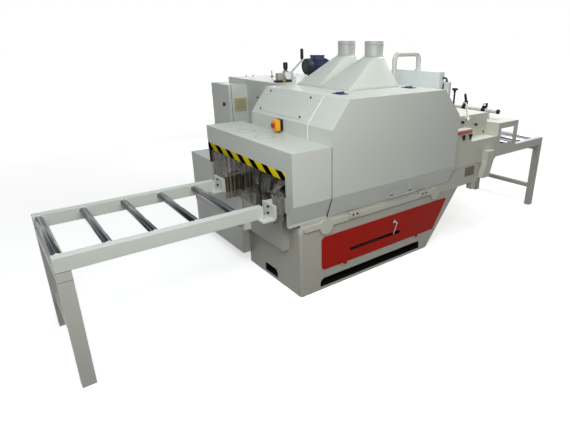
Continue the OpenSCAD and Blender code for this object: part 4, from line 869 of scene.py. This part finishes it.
for row, count, plating in (("infeed", 5, zinc_steel), ("outfeed", 4, bright_painted_zinc)):
    for number in range(1, count + 1):
        node = f"{row}_roller_{number}"
        centre = axle(node)
        piece(f"{row}_tube_{number}", node, plating, [turned(roller_profile, centre, (0, 1, 0), 44)], [node])
        piece(f"{row}_bearings_{number}", node, chrome_trim, [
            turned(form, (centre[0], side * reach, centre[2]), (0, side, 0), 32)
            for form, reach in ((bearing_seal, ROLLER_HALF - 0.0035), (tube_band, ROLLER_HALF))
            for side in (-1, 1)])


# Outfeed end: a welded bed with shelves, a folded cover over the strips and an open guard.
# A control box with two selector knobs stands on the operator's shelf.
outfeed_paint = painted(
    "outfeed_paint", (209, 209, 198), (202, 202, 190), (223, 222, 212), slot="machine_paint")
dress(outfeed_paint, "outfeed_bed", "outfeed_cover", "outfeed_guard")
guard_lo, guard_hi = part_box("outfeed_guard")
STILE_X = (2.098, 2.179)
STILE_Z = (0.880, 1.075)
piece("guard_stiles", "machine", outfeed_paint, [
    slab((STILE_X[0], y - 0.0017, STILE_Z[0]), (STILE_X[1], y + 0.0017, STILE_Z[1]), 0.0008)
    for y in (guard_lo.y + 0.0015, guard_hi.y - 0.0015)])
orange_strip = painted(
    "orange_strip", (196, 84, 48), (184, 74, 40), (214, 130, 100), 0.4, 0.001, 0.0001,
    slot="panel_red")
piece("control_strip", "machine", orange_strip, [
    slab((1.003, -0.4157, 1.079), (1.326, -0.4148, 1.113), 0.0004, 1)])
SELECTOR_LEAN = (14.0, 28.0)
for number in (1, 2):
    node = f"selector_knob_{number}"
    lo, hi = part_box(node)
    x = (lo.x + hi.x) / 2.0
    z = 1.058
    points, blocks = slab((x - 0.006, lo.y, lo.z), (x + 0.006, hi.y - 0.010, hi.z), 0.0035, 1)
    lean = math.radians(SELECTOR_LEAN[number - 1])
    off_x, off_z = points[:, 0] - x, points[:, 2] - z
    pointer = np.stack([x + off_x * math.cos(lean) + off_z * math.sin(lean), points[:, 1],
                        z + off_z * math.cos(lean) - off_x * math.sin(lean)], -1)
    piece(f"selector_{number}", node, black_plastic, [
        turned(mm((6, 0), (14, 0), (14, 4), (12.5, 9), (11, 14.5), (0, 16)),
               (x, hi.y, z), (0, -1, 0), 36), (pointer, blocks)], [node])
louvre = painted(
    "vent_dark", (118, 114, 104), (98, 95, 86), (150, 146, 136), 0.5, 0.002, 0.0003,
    slot="black_steel")
VENT_X = (1.284, 1.440)
VENT_Z = (0.630, 0.726)
piece("vent_plate", "machine", louvre, [
    slab((VENT_X[0], -0.4125, VENT_Z[0]), (VENT_X[1], -0.4095, VENT_Z[1]), 0.0012, 1),
    *[slab((VENT_X[0] + 0.010, -0.4155, z), (VENT_X[1] - 0.010, -0.4115, z + 0.005), 0.0018, 1)
      for z in np.linspace(VENT_Z[0] + 0.008, VENT_Z[1] - 0.014, 9)]])


# Lock lever, star knob and grub knobs of the outfeed cover.
# Chrome steel bars with moulded black grips, turned on pins that are welded to the cover.
LEVER_PIVOT = np.array([1.424, -0.2803, 1.192])
LEVER_LEAN = math.radians(-19.0)
lever_dir = np.array([math.sin(LEVER_LEAN), 0.0, math.cos(LEVER_LEAN)])
piece("lever_bar", "lock_lever", chrome_trim, [
    turned(mm(*mirrored([(9, -10), (20, -10), (22, -8)])), LEVER_PIVOT, (0, -1, 0), 40),
    turned(mm((9, 10), (9, 100), (7.5, 120), (7.5, 185)), LEVER_PIVOT, lever_dir, 24),
    turned(mm((0, 0), (13, 0), (13, 2), (8, 6), (0, 7)), LEVER_PIVOT + [0, -0.010, 0], (0, -1, 0), 24),
], ["lock_lever"])
piece("lever_grip", "lock_lever", black_plastic, [
    turned(mm((0, 174), (10, 175), (12.2, 180), (13, 215), (12.5, 250), (11, 262), (7, 267), (0, 268)),
           LEVER_PIVOT, lever_dir, 28)])
star_lo, star_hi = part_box("star_knob")
STAR_AT = (1.545, 0.0)


def lobed_head(z0, z1):
    """Five-lobed moulded head: the radius is a mean plus a wave with five crests round the axis, times
    a swell over the height that rounds both rims."""
    a = full_turn(80)
    lobes = 0.0245 + 0.0095 * np.cos(5.0 * a)
    t = np.linspace(0.0, np.pi, 13)[:, None]
    swell = np.maximum(np.sin(t), 0.02) ** 0.35
    height = z0 + (z1 - z0) * (1.0 - np.cos(t)) / 2.0
    return skin(np.stack(np.broadcast_arrays(
        STAR_AT[0] + swell * lobes * np.cos(a), STAR_AT[1] + swell * lobes * np.sin(a), height), -1))


piece("star_head", "star_knob", black_plastic, [
    lobed_head(star_hi.z - 0.024, star_hi.z),
    turned(mm((11, -45), (15, -30), (20, -15), (20, -10)), (*STAR_AT, star_hi.z), (0, 0, 1), 32),
    turned([(0.0, star_lo.z), (0.009, star_lo.z), (0.010, star_lo.z + 0.001), (0.010, 1.2485),
            (0.017, 1.2485), (0.017, 1.262), (0.015, 1.264), (0.010, 1.264), (0.010, star_hi.z - 0.02)],
           (*STAR_AT, 0.0), (0, 0, 1), 32)], ["star_knob"])
grub_profile = mm((5, 0), (5, 14), (13, 16), (14.5, 20), (14.5, 32), (12, 36), (0, 37))
piece("grub_knobs", "machine", black_plastic, [
    turned(grub_profile, (x, -0.258, z), (0, -1, 0), 28) for x, z in ((1.347, 1.162), (1.576, 1.117))])
piece("cover_screw", "machine", black_oxide, screw_heads([(1.758, -0.258, 1.016)], (0, -1, 0), 0.010))


# Guide bar: a pale anodised tube on two posts over the guard, with black end caps.
# Two black split clamps slide along it; a cream cam lever with a black grip locks each.
bar_alloy = painted("bar_alloy", (212, 214, 210), (200, 202, 197), (228, 229, 226), 0.34, 0.002, 0.00005)
dress(bar_alloy, "guide_bar")
bar_lo, bar_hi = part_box("guide_bar")
BAR_X = 1.990
BAR_Z = 1.205
BAR_RADIUS = 0.024
cap_form = mm((24.5, -18), (26.2, -16), (26.2, 2), (23, 5), (0, 6))
piece("bar_caps", "machine", black_plastic, [
    turned(cap_form, (BAR_X, y, BAR_Z), (0, side, 0), 36)
    for y, side in ((bar_lo.y, -1), (bar_hi.y, 1))])
cam_cream = painted(
    "cam_cream", (206, 198, 178), (192, 184, 162), (224, 218, 204), 0.35, 0.002, 0.0001,
    slot="alloy")
clamp_form = mirrored([(BAR_RADIUS + 0.0003, -0.022), (0.034, -0.022), (0.036, -0.020)])
cam_turn = np.linspace(0.0, np.pi, 22)
for number in (1, 2):
    node = f"bar_clamp_{number}"
    lo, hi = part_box(node)
    y = (lo.y + hi.y) / 2.0
    piece(f"clamp_body_{number}", node, black_plastic, [
        turned(clamp_form, (BAR_X, y, BAR_Z), (0, 1, 0), 44),
        slab((BAR_X - 0.036, y - 0.020, lo.z), (BAR_X + 0.036, y + 0.020, lo.z + 0.011), 0.003),
        slab((BAR_X - 0.022, y - 0.020, BAR_Z + 0.028), (BAR_X + 0.022, y + 0.020, BAR_Z + 0.046), 0.004),
        slab((BAR_X - 0.014, y - 0.034, BAR_Z + 0.034), (BAR_X + 0.014, y - 0.018, hi.z), 0.005)], [node])
    cam_path = np.stack([np.full(22, BAR_X), y - 0.002 - 0.021 * np.cos(cam_turn),
                         BAR_Z + 0.046 + 0.026 * np.sin(cam_turn)], -1)
    piece(f"clamp_cam_{number}", node, cam_cream, [tube(cam_path, 0.0075, (1, 0, 0), 16)])


# Control pendant: a folded steel box that swings under a bent pipe arm on the hood.
# Push buttons sit on the side that faces the outfeed, where the operator collects the strips.
dress(machine_paint, "pendant_arm")
pendant_paint = painted("pendant_paint", (228, 233, 234), (220, 225, 225), (238, 240, 240))
dress(pendant_paint, "pendant_box")
pendant_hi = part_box("pendant_box")[1]
button_rows = [(y, z) for z in (1.600, 1.545) for y in (-0.12, -0.05, 0.02, 0.15, 0.22, 0.29)]
button_form = mm((16, 0), (16, 4), (13.5, 6), (12, 6), (12, 12), (10.5, 13.5), (0, 14))
piece("pendant_buttons", "pendant_box", black_plastic, [
    turned(button_form, (pendant_hi.x - 0.0005, y, z), (1, 0, 0), 26) for y, z in button_rows])
piece("pendant_clamp", "pendant_box", machine_paint, [
    turned(mm((25.6, 0), (33, 0), (33, 10), (30, 14), (25.8, 15)),
           (1.034, 0.085, pendant_hi.z), (0, 0, 1), 40)])
POST_X = (1.003, 1.043)
POST_Y = (-0.327, -0.263)
POST_TOP = 1.573
piece("cable_post", "machine", machine_paint, [
    slab((POST_X[0], POST_Y[0], 0.990), (POST_X[1], POST_Y[1], POST_TOP), 0.004),
    slab((POST_X[0], POST_Y[0], 0.990), (POST_X[1] + 0.030, POST_Y[1], 0.998), 0.002)])
elbow_turn = np.linspace(0.0, np.pi / 2.0, 12)
elbow_x = sum(POST_X) / 2.0
elbow_path = np.stack([
    np.full(14, elbow_x),
    np.concatenate([[-0.286], -0.264 - 0.022 * np.cos(elbow_turn), [-0.240]]),
    POST_TOP + np.concatenate([[-0.002], 0.010 + 0.022 * np.sin(elbow_turn), [0.032]])], -1)
piece("post_elbow", "machine", black_plastic, [
    tube(elbow_path, 0.009, (1, 0, 0)),
    turned(mm((9, 0), (14, 0), (14, 10), (10, 13), (9, 13)), (elbow_x, -0.286, POST_TOP), (0, 0, 1), 28),
    slab((POST_X[0] - 0.006, POST_Y[1] - 0.008, 1.470),
         (POST_X[0] + 0.002, POST_Y[1] + 0.004, 1.560), 0.003)])


# Air unit: regulator, bowl and gauge on a foot plate at the edge of the cabinet top.
# Cast alloy body with a moulded knob, a chrome gauge and a brass inlet.
alloy = painted("alloy", (168, 168, 156), (150, 150, 138), (196, 196, 188), 0.45, 0.003, 0.0004)
air_x = 0.029
air_y = 0.976
air_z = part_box("air_regulator")[0].z
valve = (air_x + 0.035, air_y, air_z)
piece("air_foot", "machine", black_plastic, [
    slab((air_x - 0.085, air_y - 0.040, air_z), (air_x + 0.085, air_y + 0.040, air_z + 0.018), 0.003)],
    ["air_regulator"])
piece("air_body", "machine", alloy, [
    slab((air_x - 0.072, air_y - 0.028, air_z + 0.017), (air_x + 0.010, air_y + 0.028, air_z + 0.090), 0.010),
    turned(mm((30, 17), (32, 22), (32, 98), (28, 106), (20, 110)), valve, (0, 0, 1), 36)])
piece("air_knob", "machine", black_plastic, [
    turned(mm((17, 105), (17, 124), (24, 128), (24, 180), (22, 187), (12, 190), (0, 190)),
           valve, (0, 0, 1), 28)])
gauge_face = Finish("gauge_face", 0.25, slot="alloy")
gauge_spots = gauge_face.noise(25.0, 2.0)
gauge_face.drive("Base Color", gauge_face.blend(gauge_spots, srgb(232, 232, 226), srgb(220, 220, 214)))
gauge = (air_x + 0.035, air_y - 0.028, air_z + 0.066)
piece("gauge_case", "machine", chrome_trim, [
    turned(mm((14, -4), (14, 8), (38, 9), (42, 13), (42, 21), (40, 24), (37, 23.5), (36, 20)),
           gauge, (0, -1, 0), 44)])
piece("gauge_dial", "machine", gauge_face, [
    turned(mm((36.5, 18), (36.5, 20.5), (0, 20.8)), gauge, (0, -1, 0), 44)])
brass = metal("brass", (196, 160, 92), (164, 126, 66), 0.24, edge=0.001, slot="alloy")
piece("air_inlet", "machine", brass, [
    turned(mm((10, 0), (14, 2), (14, 14), (10, 16), (10, 30), (0, 31)),
           (air_x - 0.018, air_y - 0.040, air_z + 0.010), (0, -1, 0), 6)])


# Height crank: a light alloy hub and slanted arm with a black turned grip.
# It raises the saw through a spindle in the cabinet top.
CRANK_AT = np.array([0.180, 1.050, 1.5733])
CRANK_TURN = math.radians(-39.0)
crank_out = np.array([math.cos(CRANK_TURN), math.sin(CRANK_TURN), 0.0])
crank_side = np.array([-math.sin(CRANK_TURN), math.cos(CRANK_TURN), 0.0])
crank_run = np.linspace(0.0, 1.0, 16)[:, None]
crank_end = CRANK_AT + crank_out * 0.114
crank_path = CRANK_AT + [0.0, 0.0, 0.042] + (crank_out * 0.114 + [0.0, 0.0, 0.122]) * crank_run
pale_alloy = painted(
    "crank_alloy", (204, 208, 204), (190, 194, 190), (224, 226, 224), 0.35, 0.003,
    slot="chrome_trim")
piece("crank_arm", "crank", pale_alloy, [
    turned(mm((15.5, 0), (24, 0), (26, 2), (26, 40), (23, 45), (0, 46)), CRANK_AT, (0, 0, 1), 40),
    tube(crank_path, np.linspace(0.012, 0.010, 16), crank_side, 24),
    turned(mm((0, 150), (13, 151), (14.5, 155), (14.5, 170), (12, 173), (0, 174)), crank_end, (0, 0, 1), 28),
], ["crank"])
piece("crank_grip", "crank", black_plastic, [
    turned(mm((10, 172), (15, 174), (17, 190), (17, 240), (16.2, 262), (14, 272), (9, 276.5), (0, 277)),
           crank_end, (0, 0, 1), 28)])


# Lift motor: a finned cast motor on a foot, with a pressed black fan cover at its infeed end.
# The frame is navy enamel and the terminal box is screwed to its top.
MOTOR_X = (0.640, 0.970)
MOTOR_Y = 1.450
MOTOR_RADIUS = 0.090
MOTOR_Z = ROOF_Z + MOTOR_RADIUS + 0.020


def finned_frame(x0, x1):
    """Finned frame: the radius is the root plus the fin's depth times a steep wave of 30 ribs round the
    axis. The fins are drawn in at both ends, and the ring is carried along the motor."""
    a = full_turn(240)
    ribs = 0.5 + 0.5 * np.tanh(4.0 * np.cos(30.0 * a))
    s = np.array([0.0, 0.02, 0.06, 0.94, 0.98, 1.0])[:, None]
    grow = np.array([0.0, 0.7, 1.0, 1.0, 0.7, 0.0])[:, None]
    radius = MOTOR_RADIUS - 0.016 + 0.016 * ribs * grow
    return skin(np.stack(np.broadcast_arrays(
        x0 + (x1 - x0) * s, MOTOR_Y + radius * np.cos(a), MOTOR_Z + radius * np.sin(a)), -1))


def motor_block(x0, x1, half, z0, z1, radius):
    """Block on the motor's middle line: x is measured from its infeed end, y runs half to each side."""
    return slab((MOTOR_X[0] + x0, MOTOR_Y - half, z0), (MOTOR_X[0] + x1, MOTOR_Y + half, z1), radius)


piece("motor_frame", "machine", navy_paint, [
    finned_frame(MOTOR_X[0] + 0.055, MOTOR_X[1] - 0.035),
    turned(mm((0, 0), (60, 0), (73, 6), (80, 18), (82, 40), (76, 41)),
           (MOTOR_X[1], MOTOR_Y, MOTOR_Z), (-1, 0, 0), 48),
    *[slab((MOTOR_X[0] + 0.090, y - 0.020, ROOF_Z), (MOTOR_X[1] - 0.060, y + 0.020, ROOF_Z + 0.045), 0.004)
      for y in (MOTOR_Y - 0.065, MOTOR_Y + 0.065)],
    motor_block(0.100, 0.260, 0.060, ROOF_Z + 0.012, ROOF_Z + 0.067, 0.004),
    motor_block(0.110, 0.240, 0.055, MOTOR_Z + 0.060, MOTOR_Z + 0.106, 0.006),
    motor_block(0.106, 0.244, 0.059, MOTOR_Z + 0.105, MOTOR_Z + 0.124, 0.006),
], ["lift_motor"])
fan_grey = painted("fan_grey", (40, 43, 52), (28, 30, 38), (120, 134, 156), 0.40, 0.004, slot="black_steel")
fan_grey.drive("Specular IOR Level", 0.3)
ring_paint = painted(
    "ring_paint", (170, 184, 198), (150, 164, 180), (200, 210, 220), 0.36, 0.003, slot="navy_paint")
ring_place = (MOTOR_X[0] + 0.030, MOTOR_Y + 0.026, MOTOR_Z - 0.012)
piece("cowl_ring", "machine", ring_paint, [
    turned(mm((0, 0), (80, 0), (84, 2), (85, 5), (85, 14), (82, 18), (0, 18)), ring_place, (1, 0, 0), 52)])
piece("fan_cover", "machine", fan_grey, [
    turned(mm((84, 66), (88, 65), (88, 18), (85, 6), (78, 1), (62, 0), (60, 3), (52, 3), (50, 0),
              (42, 0), (40, 3), (32, 3), (30, 0), (0, 0)),
           (MOTOR_X[0], MOTOR_Y, MOTOR_Z), (1, 0, 0), 56)])


# Saw and drive inside the hood: toothed discs on a ground arbor, plated hold-down rollers,
# belts and pulleys. Seen only when the door and the covers are open.
saw_steel = metal("saw_steel", (190, 193, 196), (140, 143, 146), 0.24, edge=0.0008)
belt_rubber = painted("belt_rubber", (30, 30, 30), (22, 22, 22), (60, 58, 56), 0.7, 0.002, 0.0004)
dress(saw_steel, "saw_arbor", "saw_blades")
dress(iron, "motor_pulley")
dress(belt_rubber, "drive_belts")
PRESS_RADIUS = 0.055
PRESS_Y = (-0.200, 0.220, 0.690)
press_profile = [(0.0, PRESS_Y[0]), (PRESS_RADIUS - 0.002, PRESS_Y[0]), (PRESS_RADIUS, PRESS_Y[0] + 0.002),
                 (PRESS_RADIUS, PRESS_Y[1] - 0.002), (PRESS_RADIUS - 0.002, PRESS_Y[1]),
                 (JOURNAL_RADIUS, PRESS_Y[1]), (JOURNAL_RADIUS, PRESS_Y[2] - 0.001),
                 (JOURNAL_RADIUS - 0.001, PRESS_Y[2]), (0.0, PRESS_Y[2])]
for number in (1, 2):
    node = f"pressure_roller_{number}"
    piece(f"hold_down_{number}", node, zinc_steel, [turned(press_profile, axle(node), (0, 1, 0), 60)], [node])


# Studio: a pale floor, six soft lamps and an even sky.
# The camera stands where the photographer stood, in front of the infeed at head height.
def lamp(name, place, target, size, power, tint):
    """Soft rectangular lamp that looks from its place to a target."""
    light = bpy.data.lights.new(name, "AREA")
    light.shape = "RECTANGLE"
    light.size, light.size_y = size
    light.energy = power
    light.color = tint
    back = unit(np.array(place) - np.array(target))
    right = unit(np.cross([0.0, 1.0, 0.0] if abs(back[2]) > 0.95 else [0.0, 0.0, 1.0], back))
    turn = np.eye(4)
    turn[:3, :3] = np.stack([right, np.cross(back, right), back], 1)
    turn[:3, 3] = place
    placed(name, light).matrix_world = Matrix(turn.tolist())


lamp("front_lamp", (-1.8, -2.7, 2.8), (0.0, 0.0, 1.0), (3.0, 1.6), 85.0, (0.99, 1.0, 1.0))
lamp("ceiling_lamp", (-0.6, -0.6, 4.2), (-0.6, -0.1, 1.0), (5.0, 3.0), 34.0, (0.84, 0.95, 1.0))
lamp("left_lamp", (-2.2, 0.2, 5.0), (-0.9, 0.1, 1.0), (3.0, 2.0), 25.0, (0.74, 0.93, 1.0))
lamp("right_lamp", (2.3, 0.0, 3.0), (1.9, 0.1, 1.1), (1.6, 1.2), 44.0, (1.0, 1.0, 1.0))
lamp("spark_lamp", (-3.2, -2.2, 2.4), (-0.9, -0.2, 0.9), (0.40, 0.40), 12.0, (1.0, 1.0, 1.0))
lamp("back_lamp", (2.8, 4.8, 1.45), (0.2, 0.8, 0.9), (3.0, 1.4), 45.0, (1.0, 1.0, 1.0))

SKY_SEEN = (1.0, 1.0, 1.0, 1.0)
SKY_GIVEN = (0.125, 0.119, 0.108, 1.0)
sky = bpy.data.worlds.new("studio_sky")
sky.use_nodes = True
bpy.context.scene.world = sky
sky_board = NodeBoard(sky.node_tree)
sky_tone = sky_board.blend(sky_board.node("LightPath", {}, {}, "Is Diffuse Ray"), SKY_SEEN, SKY_GIVEN)
sky_board.feed(sky.node_tree.nodes["Background"].inputs["Color"], sky_tone)

FLOOR_HALF = 60.0
floor_mesh = bpy.data.meshes.new("floor")
floor_mesh.from_pydata([(-FLOOR_HALF, -FLOOR_HALF, 0.0), (FLOOR_HALF, -FLOOR_HALF, 0.0),
                        (FLOOR_HALF, FLOOR_HALF, 0.0), (-FLOOR_HALF, FLOOR_HALF, 0.0)], [], [(0, 1, 2, 3)])
floor = placed("floor", floor_mesh)
floor_finish = Finish("pale_floor", 0.9)
floor_x = floor_finish.axis("X")
floor_y = floor_finish.axis("Y")
floor_far = ((floor_x * floor_x + floor_y * floor_y - 9.0) / 60.0).clear()
floor_finish.drive("Base Color", srgb(236, 236, 236))
floor_finish.drive("Specular IOR Level", 0.0)
FLOOR_NEAR = (0.62, 0.62, 0.62, 1.0)
floor_finish.drive("Emission Color", floor_finish.blend(floor_far, FLOOR_NEAR, SKY_SEEN))
floor_finish.drive("Emission Strength", 1.0)
floor_seen = sum(
    floor_finish.node("LightPath", {}, {}, f"Is {ray} Ray") for ray in ("Camera", "Glossy", "Transmission"))
floor_bounce = floor_finish.node("BsdfDiffuse", {}, {"Color": srgb(52, 49, 43)})
floor_look = Signal(floor_finish, floor_finish.shader.outputs[0])
floor_mix = floor_finish.node("MixShader", {}, {0: floor_seen.clear(), 1: floor_bounce, 2: floor_look})
floor_finish.feed(floor_finish.tree.nodes["Material Output"].inputs["Surface"], floor_mix)
floor_mesh.materials.append(floor_finish.material)

FOCAL_PIXELS = 444.816
PICTURE_WIDE = 570.0
PICTURE_HIGH = 430.0
PICTURE_CENTRE = (335.8, 206.8)
view_right = np.array([0.77811, -0.62811, 0.00455])
view_down = np.array([-0.21819, -0.27708, -0.93575])
view_ahead = np.array([0.58901, 0.72713, -0.35264])
lens = bpy.data.cameras.new("photo_view")
lens.sensor_fit = "HORIZONTAL"
lens.sensor_width = 36.0
lens.lens = FOCAL_PIXELS * lens.sensor_width / PICTURE_WIDE
lens.shift_x = (PICTURE_WIDE / 2.0 - PICTURE_CENTRE[0]) / PICTURE_WIDE
lens.shift_y = (PICTURE_CENTRE[1] - PICTURE_HIGH / 2.0) / PICTURE_WIDE
lens.clip_end = 200.0
camera = placed("photo_view", lens)
camera_place = np.eye(4)
camera_place[:3, :3] = np.stack([view_right, -view_down, -view_ahead], 1)
camera_place[:3, 3] = (-2.47476, -2.97095, 1.93976)
camera.matrix_world = Matrix(camera_place.tolist())
bpy.context.scene.camera = camera
bpy.context.scene.view_settings.view_transform = "Standard"
